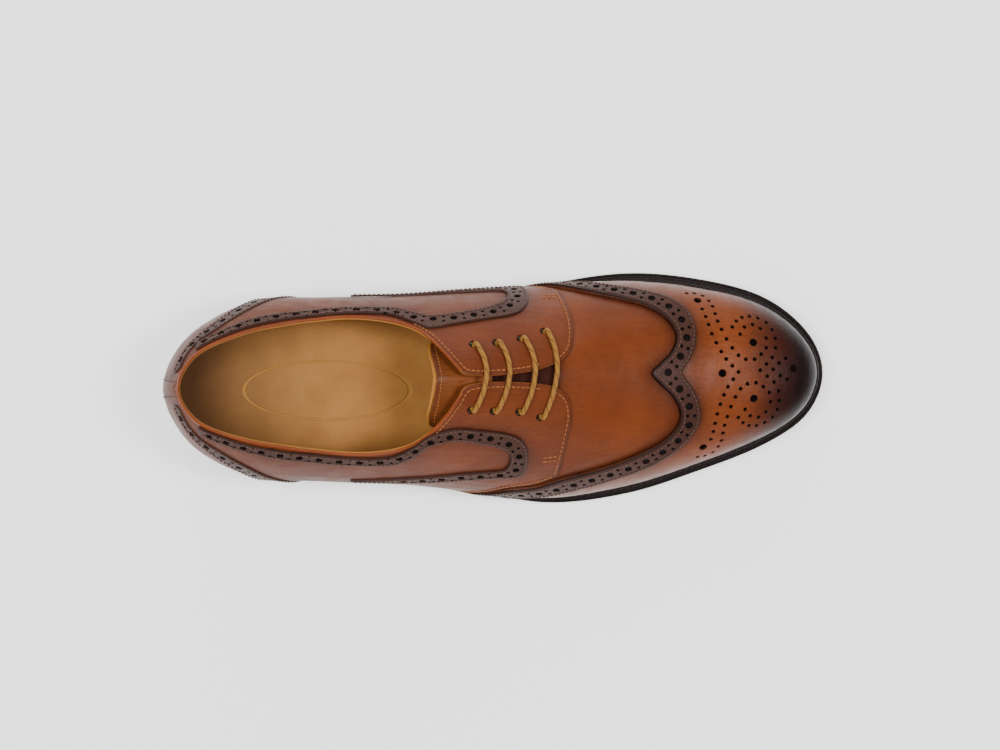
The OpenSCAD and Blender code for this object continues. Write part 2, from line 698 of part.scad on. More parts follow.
// Heel outline with a shallow hollow in its breast
module heel_plan(inset) {
    difference() {
        outline(1, -inset);
        translate([breast_x, -far / 2]) square(far);
        translate([breast_x + breast_r - breast_depth, 0]) circle(breast_r, $fn = 96);
    }
}

// Plan places of the nails that hold the top piece
NAILS = [[-141, 0], [-134, 15], [-134, -15], [-116, 23], [-116, -23], [-97, 22], [-97, -23]];
nail_top = 16;
nail_bottom = 1.5;
nail_fit = .02;

module nail_set(grow) {
    for (p = NAILS) {
        translate([p[0], p[1], nail_bottom - grow])
            cylinder(h = nail_top - nail_bottom + 2 * grow, r = nail_r + grow, $fn = 24);
    }
}

module heel_nails() {
    color([.75, .65, .4]) nail_set(0);
}

module heel_top_piece() {
    color([.12, .11, .11]) difference() {
        linear_extrude(top_piece_t) heel_plan(top_piece_inset);
        nail_set(nail_fit);
    }
}

module heel_lift_lower() {
    color([.3, .18, .12]) difference() {
        translate([0, 0, top_piece_t]) linear_extrude(lower_lift_t) heel_plan(lower_lift_inset);
        nail_set(nail_fit);
    }
}

module heel_lift_upper() {
    base = top_piece_t + lower_lift_t;
    color([.3, .18, .12]) difference() {
        intersection() {
            translate([0, 0, base]) linear_extrude(above_all) heel_plan(upper_lift_inset);
            layer(-base, 0);
        }
        nail_set(nail_fit);
    }
}

// Centres of the shank's two round ends, and the clearance of its slot in the cork
SHANK_ENDS = [[-100, 0], [-4, -3]];
shank_slot = .3;
shank_base = outsole_t + .1;

module shank_plan(grow) {
    hull() {
        translate(SHANK_ENDS[0]) circle(shank_w / 2 + grow, $fn = 32);
        translate(SHANK_ENDS[1]) circle(shank_w / 2 + grow, $fn = 32);
    }
}

module shank() {
    color([.6, .62, .64]) intersection() {
        linear_extrude(above_all) shank_plan(0);
        layer(shank_base, shank_base + shank_t);
    }
}

module cork_filler() {
    color([.62, .47, .3]) difference() {
        slab(0, -welt_inset - cork_gap, outsole_t, feather_h - cork_gap);
        intersection() {
            linear_extrude(above_all) shank_plan(shank_slot);
            layer(0, shank_base + shank_t + shank_slot);
        }
    }
}

module insole_board() {
    color([.8, .68, .5]) slab(0, -insole_inset, feather_h, feather_h + insole_t);
}

module sock_liner() {
    base = feather_h + insole_t + sock_gap;
    color([.76, .55, .28]) slab(0, -sock_inset, base, base + sock_t);
}

outsole();
welt();
heel_rand();
heel_lift_upper();
heel_lift_lower();
heel_top_piece();
heel_nails();
shank();
cork_filler();
insole_board();
sock_liner();
heel_stiffener();
toe_puff();
quarter_lining();
vamp_lining();
facing_stay_lateral();
facing_stay_medial();
vamp();
wing_cap();
wing_band();
quarter_lateral();
quarter_medial();
quarter_band_lateral();
quarter_band_medial();
counter_band_lateral();
counter_band_medial();
backstay();
collar_binding();
tongue();
tongue_lining();
eyelets_lateral();
eyelets_medial();
lace();
aglets();
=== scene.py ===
import math
import bpy
import numpy as np
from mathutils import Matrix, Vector
from mathutils.bvhtree import BVHTree
from mathutils.geometry import delaunay_2d_cdt


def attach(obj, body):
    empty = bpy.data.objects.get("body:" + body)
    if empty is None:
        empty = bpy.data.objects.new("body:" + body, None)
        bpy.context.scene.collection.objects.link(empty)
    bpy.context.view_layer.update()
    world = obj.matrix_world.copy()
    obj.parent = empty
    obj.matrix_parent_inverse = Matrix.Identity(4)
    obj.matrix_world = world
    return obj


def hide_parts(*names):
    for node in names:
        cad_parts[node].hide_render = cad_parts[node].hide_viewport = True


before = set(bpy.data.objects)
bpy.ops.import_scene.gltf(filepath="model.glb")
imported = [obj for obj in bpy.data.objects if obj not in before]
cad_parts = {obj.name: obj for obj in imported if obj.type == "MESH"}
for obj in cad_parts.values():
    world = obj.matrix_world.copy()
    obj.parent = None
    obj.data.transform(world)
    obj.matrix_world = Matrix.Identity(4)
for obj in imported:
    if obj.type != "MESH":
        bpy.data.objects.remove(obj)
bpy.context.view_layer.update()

# A men's right open-laced wing-cap shoe. The frame is the CAD model's: +X to the toe, +Y to the
# inner side, +Z up. Lengths here are millimetres; MM turns them into Blender's metres.
MM = .001
SHOE = "shoe"
TONGUE = "tongue"

# ---- Camera: straight above the shoe, the toe to the right
CAMERA_HEIGHT = .9
CAMERA_AIM = (.0008, .0061)
LENS = 67.9
camera = bpy.data.objects.new("camera", bpy.data.cameras.new("camera"))
camera.data.lens = LENS
camera.data.sensor_width = 36
camera.data.clip_end = 20
camera.location = (CAMERA_AIM[0], CAMERA_AIM[1], CAMERA_HEIGHT)
bpy.context.scene.collection.objects.link(camera)
bpy.context.scene.camera = camera

# ---- The last: the same surface that the CAD model uses
# Stations round the feather line: plan x, plan y, spine x, bulge, height share of the bulge, width
# share of the shoulder, how far the sole stands out
LATERAL = [(-147.5, 0, -110, 12, .38, .72, 1.6), (-142.5, -15, -108, 12, .38, .70, 1.6),
    (-130, -27, -103, 15, .37, .66, 1.6), (-106, -34.5, -92, 21, .36, .60, 1.6),
    (-75, -35, -70, 24, .34, .54, 2.0), (-43, -37.5, -42, 23, .34, .48, 2.6),
    (-10, -44.5, -10, 17, .40, .44, 4.0), (24, -49.5, 24, 11, .45, .46, 5.0),
    (60, -45.2, 58, 6, .55, .52, 5.0), (93, -34.6, 86, 5, .60, .58, 5.0),
    (122, -23, 104, 4, .62, .62, 4.8), (141, -10, 113, 4, .62, .66, 4.6),
    (147.8, 7, 117, 4, .62, .68, 4.5)]
MEDIAL = [(-147.5, 0, -110, 12, .38, .72, 1.6), (-142.5, 15, -108, 12, .38, .70, 1.6),
    (-130, 26, -103, 15, .37, .66, 1.6), (-106, 33, -92, 23, .36, .60, 1.6),
    (-75, 32, -70, 28, .34, .54, 1.6), (-43, 31, -42, 32, .34, .48, 2.0),
    (-10, 36, -10, 28, .40, .44, 3.0), (24, 44, 24, 16, .45, .46, 5.0),
    (60, 48.8, 58, 8, .55, .52, 5.6), (93, 46.2, 86, 5, .60, .58, 5.6),
    (122, 38.6, 104, 4, .62, .62, 5.2), (141, 24, 113, 4, .62, .66, 4.8),
    (147.8, 7, 117, 4, .62, .68, 4.5)]
TOE = 12            # the station at the toe
STATIONS = 24
LAST = np.array(LATERAL + MEDIAL[TOE - 1:0:-1], float)
SPINE_Z = [(-112, 98), (-80, 97.5), (-50, 97), (-25, 93.5), (0, 83), (30, 69), (60, 56.5),
    (90, 47.5), (110, 42.5), (120, 39.5)]
SPINE_Y = [(-112, 0), (-60, 1.5), (-20, 4.5), (10, 6), (40, 6.5), (80, 7), (120, 7)]
SOLE_Z = [(-155, 22.2), (-115, 20.7), (-82, 19.5), (-50, 14.2), (-20, 7), (0, 3), (20, .3),
    (35, 0), (52, 0), (75, .8), (105, 3.2), (130, 6.2), (156, 10)]
CENTRE = np.array([-.16, .03, 0])
OUTSOLE = 4.5       # the outsole's thickness
FEATHER = 7.5       # the last's feather line over the sole's underside
SEAT_GAP = .2


def cubic(p0, p1, p2, p3, f):
    return .5 * (2 * p1 + (p2 - p0) * f + (2 * p0 - 5 * p1 + 4 * p2 - p3) * f * f
                 + (3 * p1 - p0 - 3 * p2 + p3) * f ** 3)


def station(a):
    i = np.floor(a).astype(int)
    f = (a - i)[..., None]
    return cubic(*(LAST[(i + k) % STATIONS] for k in (-1, 0, 1, 2)), f)


def along(table, x):
    """A smooth curve through a table's points (x, y)."""
    xs, ys = np.array(table, float).T
    m = np.empty(len(xs))
    m[1:-1] = (ys[2:] - ys[:-2]) / (xs[2:] - xs[:-2])
    m[0] = (ys[1] - ys[0]) / (xs[1] - xs[0])
    m[-1] = (ys[-1] - ys[-2]) / (xs[-1] - xs[-2])
    i = np.clip(np.searchsorted(xs, x, side="right") - 1, 0, len(xs) - 2)
    step = xs[i + 1] - xs[i]
    f = (x - xs[i]) / step
    return ((2 * f ** 3 - 3 * f ** 2 + 1) * ys[i] + (f ** 3 - 2 * f ** 2 + f) * step * m[i]
            + (3 * f ** 2 - 2 * f ** 3) * ys[i + 1] + (f ** 3 - f ** 2) * step * m[i + 1])


def skin(a, t):
    """The last's surface: a runs round it by stations, t from the feather line up to the spine."""
    a, t = np.broadcast_arrays(np.asarray(a, float), np.asarray(t, float))
    s = station(a)
    tx = s[..., 2]
    ty = along(SPINE_Y, tx)
    tz = along(SPINE_Z, tx)
    pitch = along(SPINE_Z, tx + .5) - along(SPINE_Z, tx - .5)
    fz = along(SOLE_Z, s[..., 0]) + FEATHER + SEAT_GAP
    d = s[..., :2] - np.stack([tx, ty], -1)
    reach = np.linalg.norm(d, axis=-1)
    d = d / reach[..., None]
    w = 1 - t
    b = (w ** 3, 3 * w * w * t, 3 * w * t * t, t ** 3)
    r = b[0] * reach + b[1] * (reach + s[..., 3]) + b[2] * s[..., 5] * reach
    z = (b[0] * fz + b[1] * (fz + s[..., 4] * (tz - fz))
         + b[2] * (tz + pitch * d[..., 0] * s[..., 5] * reach) + b[3] * tz)
    return np.stack([tx + d[..., 0] * r, ty + d[..., 1] * r, z], -1) + CENTRE


def unit(v):
    return v / np.maximum(np.linalg.norm(v, axis=-1, keepdims=True), 1e-9)


def normal(a, t):
    t = np.minimum(t, .96)
    return unit(np.cross(skin(a + .05, t) - skin(a - .05, t), skin(a, t + .02) - skin(a, t - .02)))


def ring_of(uv):
    return np.where(uv[..., 1] < 0, uv[..., 0], STATIONS - uv[..., 0]), 1 - np.abs(uv[..., 1])


def at(uv, h):
    """Points at chart places (u, v) and height h over the skin; u may pass 0 round the heel."""
    a, t = ring_of(np.asarray(uv, float))
    return skin(a, t) + np.asarray(h, float)[..., None] * normal(a, t)


# ---- Lines: rows of points in millimetres
def lengths(line):
    """Distance along a line, or along each of several."""
    gaps = np.linalg.norm(np.diff(line, axis=-2), axis=-1)
    return np.concatenate([np.zeros_like(gaps[..., :1]), np.cumsum(gaps, axis=-1)], axis=-1)


def picked(line, known, wanted):
    """A line's points at the wanted places, known being where its own points are."""
    return np.stack([np.interp(wanted, known, column) for column in line.T], -1)


def even(line, step):
    """The same line with its points about one step apart."""
    s = lengths(line)
    return picked(line, s, np.linspace(0, s[-1], max(int(round(s[-1] / step)), 2) + 1))


def span(line, start, end, step=.8):
    """The part of a line between two distances along it; a negative end counts from the far end."""
    s = lengths(line)
    end = s[-1] + end if end <= 0 else end
    return picked(line, s, np.linspace(start, end, max(int((end - start) / step), 2)))


def between(one, other, count):
    """The line midway between two lines."""
    share = np.linspace(0, 1, count)
    return (picked(one, np.linspace(0, 1, len(one)), share)
            + picked(other, np.linspace(0, 1, len(other)), share)) / 2


def spline(points, step):
    """A smooth curve through points, resampled evenly."""
    p = np.asarray(points, float)
    n = len(p)
    f = np.linspace(0, 1, 24, endpoint=False)[:, None]
    parts = [cubic(p[max(i - 1, 0)], p[i], p[i + 1], p[min(i + 2, n - 1)], f) for i in range(n - 1)]
    return even(np.concatenate(parts + [p[-1:]]), step)


def sideways(line):
    d = unit(np.gradient(line, axis=0))
    return np.stack([-d[:, 1], d[:, 0]], -1)


def shifted(line, amount):
    return line + sideways(line) * amount


def inside(points, loop):
    """Whether each point is within a closed outline."""
    out = np.zeros(len(points), bool)
    a = loop
    b = np.roll(loop, -1, axis=0)
    for k in range(0, len(points), 4000):
        x = points[k:k + 4000, 0:1]
        y = points[k:k + 4000, 1:2]
        cross = (a[:, 1] > y) != (b[:, 1] > y)
        with np.errstate(divide="ignore", invalid="ignore"):
            xs = (b[:, 0] - a[:, 0]) * (y - a[:, 1]) / (b[:, 1] - a[:, 1]) + a[:, 0]
        out[k:k + 4000] = (np.sum(cross & (x < xs), axis=1) % 2) == 1
    return out


def edge_distance(points, loop):
    a = loop
    b = np.roll(loop, -1, axis=0)
    ab = b - a
    size = np.maximum((ab ** 2).sum(1), 1e-9)
    out = np.empty(len(points))
    for k in range(0, len(points), 3000):
        p = points[k:k + 3000, None, :]
        f = np.clip(((p - a) * ab).sum(-1) / size, 0, 1)
        out[k:k + 3000] = np.sqrt((((a + f[..., None] * ab) - p) ** 2).sum(-1)).min(1)
    return out


def inset(line, amount, loop):
    """A line moved to the side that lies within an outline."""
    moved = shifted(line, amount)
    middle = len(moved) // 2
    return moved if inside(moved[middle:middle + 1], loop)[0] else shifted(line, -amount)


def circle(centre, r, count):
    angle = np.linspace(0, 2 * math.pi, count, endpoint=False)
    return np.asarray(centre) + r * np.stack([np.cos(angle), np.sin(angle)], -1)


def join(*runs):
    """One closed outline from runs that follow each other."""
    out = [runs[0]]
    for run in runs[1:]:
        near, far = (np.linalg.norm(run[end] - out[-1][-1]) for end in (0, -1))
        out.append(run if near < far else run[::-1])
    return np.concatenate([r[:-1] for r in out])


def closed_loop(line, step):
    return even(np.vstack([line, line[:1]]), step)[:-1]


# ---- Charts: flat, nearly true-to-length maps of the skin, on which the leather is cut
class Chart:
    def __init__(self, us, vs, xy):
        """xy gives the flat place of every grid point of us by vs."""
        self.us, self.vs, self.xy = us, vs, xy
        m, n = len(us), len(vs)
        self.flat = xy.reshape(-1, 2)
        ids = np.arange(m * n).reshape(m, n)
        quads = np.stack([ids[:-1, :-1], ids[1:, :-1], ids[1:, 1:], ids[:-1, 1:]], -1)
        quads = quads.reshape(-1, 4)
        self.tris = np.concatenate([quads[:, [0, 1, 2]], quads[:, [0, 2, 3]]])
        self.uv = np.stack(np.meshgrid(us, vs, indexing="ij"), -1).reshape(-1, 2)
        verts = [Vector((x, y, 0)) for x, y in self.flat.tolist()]
        self.tree = BVHTree.FromPolygons(verts, self.tris.tolist())

    def to_flat(self, uv):
        uv = np.asarray(uv, float)
        i = np.clip(np.searchsorted(self.us, uv[..., 0]) - 1, 0, len(self.us) - 2)
        j = np.clip(np.searchsorted(self.vs, uv[..., 1]) - 1, 0, len(self.vs) - 2)
        f = ((uv[..., 0] - self.us[i]) / (self.us[i + 1] - self.us[i]))[..., None]
        g = ((uv[..., 1] - self.vs[j]) / (self.vs[j + 1] - self.vs[j]))[..., None]
        q = self.xy
        return (q[i, j] * (1 - f) * (1 - g) + q[i + 1, j] * f * (1 - g)
                + q[i, j + 1] * (1 - f) * g + q[i + 1, j + 1] * f * g)

    def to_uv(self, xy):
        xy = np.asarray(xy, float)
        shape = xy.shape
        xy = xy.reshape(-1, 2)
        found = [self.tree.find_nearest(Vector((x, y, 0))) for x, y in xy.tolist()]
        tri = self.tris[[f[2] for f in found]]
        p = np.array([f[0][:2] for f in found])
        a, b, c = (self.flat[tri[:, k]] for k in range(3))

        def turned(q, r):
            q, r = q - a, r - a
            return q[:, 0] * r[:, 1] - q[:, 1] * r[:, 0]
        whole = turned(b, c)
        wb, wc = turned(p, c) / whole, turned(b, p) / whole
        uv = (self.uv[tri[:, 0]] * (1 - wb - wc)[:, None] + self.uv[tri[:, 1]] * wb[:, None]
              + self.uv[tri[:, 2]] * wc[:, None])
        return uv.reshape(shape)

    def place(self, xy, h):
        return at(self.to_uv(xy), h)

    def both(self, xy, h1, h0):
        uv = self.to_uv(xy)
        return at(uv, h1), at(uv, h0)

    def up(self, xy):
        return normal(*ring_of(self.to_uv(xy)))


class Plan:
    """A flat or gently curved floor: chart places are plan x and y."""
    def __init__(self, base):
        self.base = base

    def place(self, xy, h):
        z = self.base(xy[..., 0]) + h
        return np.concatenate([xy, z[..., None]], -1)

    def both(self, xy, h1, h0):
        return self.place(xy, h1), self.place(xy, h0)

    def up(self, xy):
        return np.broadcast_to([0., 0., 1.], xy.shape[:-1] + (3,))


def wall_between(side, us, ts):
    """Points of the skin over us and ts on one side, with their distance along each row."""
    p = skin((us if side < 0 else STATIONS - us)[:, None], ts[None, :])
    return p, lengths(p)


def crown_chart(u_first, steps, rows=80):
    """Unrolled from the spine outwards: plan direction, and true length down the wall."""
    us = np.linspace(u_first, TOE, steps)
    halves = []
    for side in (-1, 1):
        p, s = wall_between(side, us, np.linspace(1, 0, rows + 1))
        foot = p[:, -1, :2] - p[:, 0, :2]
        halves.append(p[:, 0, None, :2] + unit(foot)[:, None, :] * s[..., None])
    xy = np.concatenate([halves[0][:, :0:-1], halves[1]], axis=1)
    return Chart(us, np.linspace(-1, 1, 2 * rows + 1), xy)


def wall_chart(side, u_first, u_last, steps, rows=120, middle=48):
    """Along the wall from the back of the heel, and true length up and down from its middle row."""
    us = np.linspace(u_first, u_last, steps)
    ts = np.linspace(0, 1, rows + 1)
    p, rise = wall_between(side, us, ts)
    rise -= rise[:, middle:middle + 1]
    run = lengths(p[:, middle])
    run -= np.interp(0, us, run)
    xy = np.stack([np.broadcast_to(run[:, None], rise.shape), rise], -1)
    vs = side * (1 - ts)
    return Chart(us, vs, xy) if side < 0 else Chart(us, vs[::-1], xy[:, ::-1])



CROWN = crown_chart(3.4, 430)
WALL = {side: wall_chart(side, -.9, 7.6, 420) for side in (-1, 1)}
SIDE_NAME = {-1: "lateral", 1: "medial"}


def flat_point(chart, *uv):
    return chart.to_flat(np.array(uv, float))


def run_of(chart, uv, step=1.1):
    return spline(chart.to_flat(np.array(uv, float)), step)


def on_side(side, pts):
    return [(u, side * (1 - t)) for u, t in pts]


def wall_run(side, pts):
    """A smooth line on one side's wall through places (u, t)."""
    return run_of(WALL[side], on_side(side, pts))


# ---- Meshes
SHARP = math.radians(48)
SHARP_SOLE = math.radians(60)
SHARP_WELT = math.radians(70)


def make(name, verts, faces, look, body=SHOE, slot=None, node=None, sharp=SHARP):
    """A piece of the shoe. It stands for the CAD node given, or for the one of its own name.
    slot is not used."""
    mesh = bpy.data.meshes.new(name)
    mesh.from_pydata((np.asarray(verts) * MM).tolist(), [], [list(map(int, f)) for f in faces])
    mesh.validate()
    mesh.update()
    obj = bpy.data.objects.new(name, mesh)
    bpy.context.scene.collection.objects.link(obj)
    mesh.materials.append(look)
    mesh.polygons.foreach_set("use_smooth", [True] * len(mesh.polygons))
    mesh.set_sharp_from_angle(angle=sharp)
    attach(obj, body)
    if (node or name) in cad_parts:
        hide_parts(node or name)
    return obj


def mark(obj, name, values):
    layer = obj.data.attributes.new(name, "FLOAT", "POINT")
    layer.data.foreach_set("value", np.asarray(values, np.float32))


def off_holes(points, holes, share=1.):
    """Distance of each point from the nearest hole's edge; share makes the holes smaller."""
    gaps = np.linalg.norm(points[:, None] - holes[None, :, :2], axis=-1)
    return (gaps - holes[:, 2] * share).min(1)


BIG_HOLE = 1            # the radius over which a hole gets the larger number of sides
HOLE_SIDES = (10, 16)
# HOLE_SHADE and SHADE_EDGE set painted shade: dark walls in punched holes, and near black under
# pieces laid on a piece
HOLE_SHADE = .9         # how dark a hole's wall is
SHADE_EDGE = .8         # how far in under another piece the full dark starts


def cut(name, chart, loop, look, high, low, holes=(), grain=1.6, lip=.35, relief=None, body=SHOE,
        seam=3.5, under=(), both_edges=False, sharp=SHARP, slot=None, node=None):
    """A piece of leather cut on a chart: outline, heights of its two faces, punched holes
    (x, y, r), size of its mesh, rounded edge. relief(flat, depth) lifts it. under lists the
    outlines of pieces laid on it, each alone or with how far the darkening beside it reaches,
    partly burnish and partly painted shade; under them, and on the walls of its holes, it gets
    near-black painted shade."""
    area = np.sum(loop[:, 0] * np.roll(loop[:, 1], -1) - np.roll(loop[:, 0], -1) * loop[:, 1])
    if area < 0:
        loop = loop[::-1]
    out = sideways(np.vstack([loop[-1:], loop, loop[:1]]))[1:-1]
    rings = [loop + out * (lip * f) for f in (.3, 1)]
    holes = np.asarray(holes, float).reshape(-1, 3)
    bounds, free = [loop], []
    for x, y, r in holes:
        count = HOLE_SIDES[int(r > BIG_HOLE)]
        bounds.append(circle((x, y), r, count))
        free.append(circle((x, y), r + lip * .8, count))
    edges, start = [], 0
    for ring in bounds:
        edges += [(start + i, start + (i + 1) % len(ring)) for i in range(len(ring))]
        start += len(ring)
    lo, hi = loop.min(0), loop.max(0)
    rows = np.arange(lo[1], hi[1], grain * .866)
    gx, gy = np.meshgrid(np.arange(lo[0], hi[0], grain), rows)
    gx = gx + (np.arange(len(rows)) % 2)[:, None] * grain / 2
    dots = np.stack([gx.ravel(), gy.ravel()], -1)
    dots = dots[inside(dots, loop)]
    dots = dots[edge_distance(dots, loop) > lip + grain * .35]
    if len(holes):
        dots = dots[off_holes(dots, holes) > lip * .8 + grain * .25]
    free += [ring[inside(ring, loop) & (edge_distance(ring, loop) > lip * .25)] for ring in rings]
    points = np.concatenate(bounds + free + [dots])
    result = delaunay_2d_cdt([Vector(p) for p in points.tolist()], edges, [], 0, 1e-5)
    flat = np.array([v[:] for v in result[0]])
    tris = np.array([f for f in result[2] if len(f) == 3])
    mid = flat[tris].mean(1)
    keep = inside(mid, loop)
    if len(holes):
        keep &= off_holes(mid, holes, .97) > 0
    tris = tris[keep]
    used = np.unique(tris)
    index = np.full(len(flat), -1)
    index[used] = np.arange(len(used))
    tris, flat = index[tris], flat[used]
    turn = ((flat[tris[:, 1]] - flat[tris[:, 0]]) * (flat[tris[:, 2]] - flat[tris[:, 0]])[:, ::-1]
            * [1, -1]).sum(1)
    tris[turn < 0] = tris[turn < 0][:, ::-1]
    depth = edge_distance(flat, loop)
    rim, shade = depth, np.zeros(len(flat))
    # Painted shade: the walls of punched holes are dark.
    if len(holes):
        punched = off_holes(flat, holes)
        rim = np.minimum(depth, np.maximum(punched, 0))
        shade[punched < .05] = HOLE_SHADE
    f = np.clip(rim / lip, 0, 1)
    drop = min(lip, (high - low) * .6) * (1 - np.sqrt(1 - (1 - f) ** 2))
    lift = relief(flat, depth) if relief else np.zeros(len(flat))
    upper, lower = chart.both(flat, high - drop + lift, low + lift + (drop if both_edges else 0))
    probe = tris[:: max(len(tris) // 50, 1)]
    n = np.cross(upper[probe[:, 1]] - upper[probe[:, 0]], upper[probe[:, 2]] - upper[probe[:, 0]])
    if (n * (upper - lower)[probe[:, 0]]).sum() < 0:
        tris = tris[:, ::-1]
    count = len(flat)
    half = np.concatenate([tris[:, [0, 1]], tris[:, [1, 2]], tris[:, [2, 0]]])
    border = half[~np.isin(half[:, 0] * count + half[:, 1], half[:, 1] * count + half[:, 0])]
    wall = np.stack([border[:, 1], border[:, 0], border[:, 0] + count, border[:, 1] + count], -1)
    faces = tris.tolist() + (tris[:, ::-1] + count).tolist() + wall.tolist()
    obj = make(name, np.concatenate([upper, lower]), faces, look, body, slot, node, sharp)
    beside_shade = np.zeros(count)
    # Painted shade: near black under each piece laid on this one; beside it a darkening that is
    # partly burnish and partly painted shade.
    for other in under:
        other, reach = other if isinstance(other, tuple) else (other, seam)
        within = inside(flat, other)
        gap = edge_distance(flat, other)
        shade = np.maximum(shade, np.where(within, np.clip(gap / SHADE_EDGE, 0, 1), 0))
        beside_shade = np.maximum(beside_shade, np.where(within, 1, np.exp(-gap / reach)))
    foot = 0 * depth
    if isinstance(chart, Chart):
        foot = np.exp(-(1 - np.abs(chart.to_uv(flat)[:, 1])) / .16)
    for label, values in (("seam", np.exp(-depth / seam)), ("shade", shade), ("beside", beside_shade),
                          ("rim", np.clip(1 - depth / lip, 0, 1)), ("foot", foot)):
        mark(obj, label, np.concatenate([values, values]))
    return obj


def loft(rings, sides):
    """Faces along a row of rings, with both ends closed."""
    faces = [[i * sides + s, i * sides + (s + 1) % sides, (i + 1) * sides + (s + 1) % sides,
              (i + 1) * sides + s] for i in range(rings - 1) for s in range(sides)]
    return faces + [list(range(sides))[::-1], [(rings - 1) * sides + s for s in range(sides)]]


# A stitch, end to end: place along it, height and thickness
STITCH = np.array([(-.5, -.42, .45), (-.3, .06, .95), (0, .2, 1), (.3, .06, .95), (.5, -.42, .45)])
STITCH_SIDES = 6
STITCH_STAND = .12


def sew(name, rows, look, slot, body=SHOE, pitch=2.1, long=1.55, r=.26):
    """Stitches: rows is a list of (chart, line, height); each stitch dips into the leather."""
    shape, arch, fat = STITCH.T
    verts, faces = [], []
    each = len(STITCH) * STITCH_SIDES
    round_it = np.linspace(0, 2 * math.pi, STITCH_SIDES, endpoint=False)
    for chart, line, h in rows:
        beads = even(line, pitch)
        mid = (beads[:-1] + beads[1:]) / 2
        pts = mid[:, None] + unit(np.diff(beads, axis=0))[:, None] * (shape * long)[None, :, None]
        p = chart.place(pts, h + STITCH_STAND + arch * r * 1.6 + np.zeros(pts.shape[:2]))
        d = unit(np.gradient(p, axis=1))
        side = unit(np.cross(d, chart.up(pts)))
        up = np.cross(side, d)
        rings = (p[:, :, None] + (r * fat)[None, :, None, None]
                 * (np.cos(round_it)[:, None] * side[:, :, None]
                    + np.sin(round_it)[:, None] * up[:, :, None]))
        verts.append(rings.reshape(-1, 3))
    for first in range(0, sum(map(len, verts)), each):
        faces += [[v + first for v in f] for f in loft(len(STITCH), STITCH_SIDES)]
    return make(name, np.concatenate(verts), faces, look, body, slot)


def sweep(name, path, profile, frames, look, **given):
    """A closed profile (x, y) carried along a path; frames gives the x and y directions."""
    px, py = frames
    profile = np.asarray(profile, float)
    count, sides = len(path), profile.shape[-2]
    profile = np.broadcast_to(profile, (count, sides, 2))
    verts = path[:, None] + profile[..., 0:1] * px[:, None] + profile[..., 1:2] * py[:, None]
    return make(name, verts.reshape(-1, 3), loft(count, sides), look, **given)


def noise(points, scale, seed):
    """Smooth value noise in [-1, 1] over points (n, k)."""
    p = np.asarray(points, float) / scale + seed * 17.3
    i = np.floor(p).astype(np.int64)
    f = p - i
    f = f * f * (3 - 2 * f)
    out = np.zeros(len(p))
    k = p.shape[1]
    for corner in range(2 ** k):
        bits = [(corner >> b) & 1 for b in range(k)]
        h = np.zeros(len(p), np.int64)
        w = np.ones(len(p))
        for b in range(k):
            h = h * 374761 + (i[:, b] + bits[b]) * 668265263 + seed * 1274126177
            w = w * (f[:, b] if bits[b] else 1 - f[:, b])
        h = (h ^ (h >> 13)) * 1103515245 & 0x7fffffff
        out += w * ((h % 10007) / 5003.5 - 1)
    return out


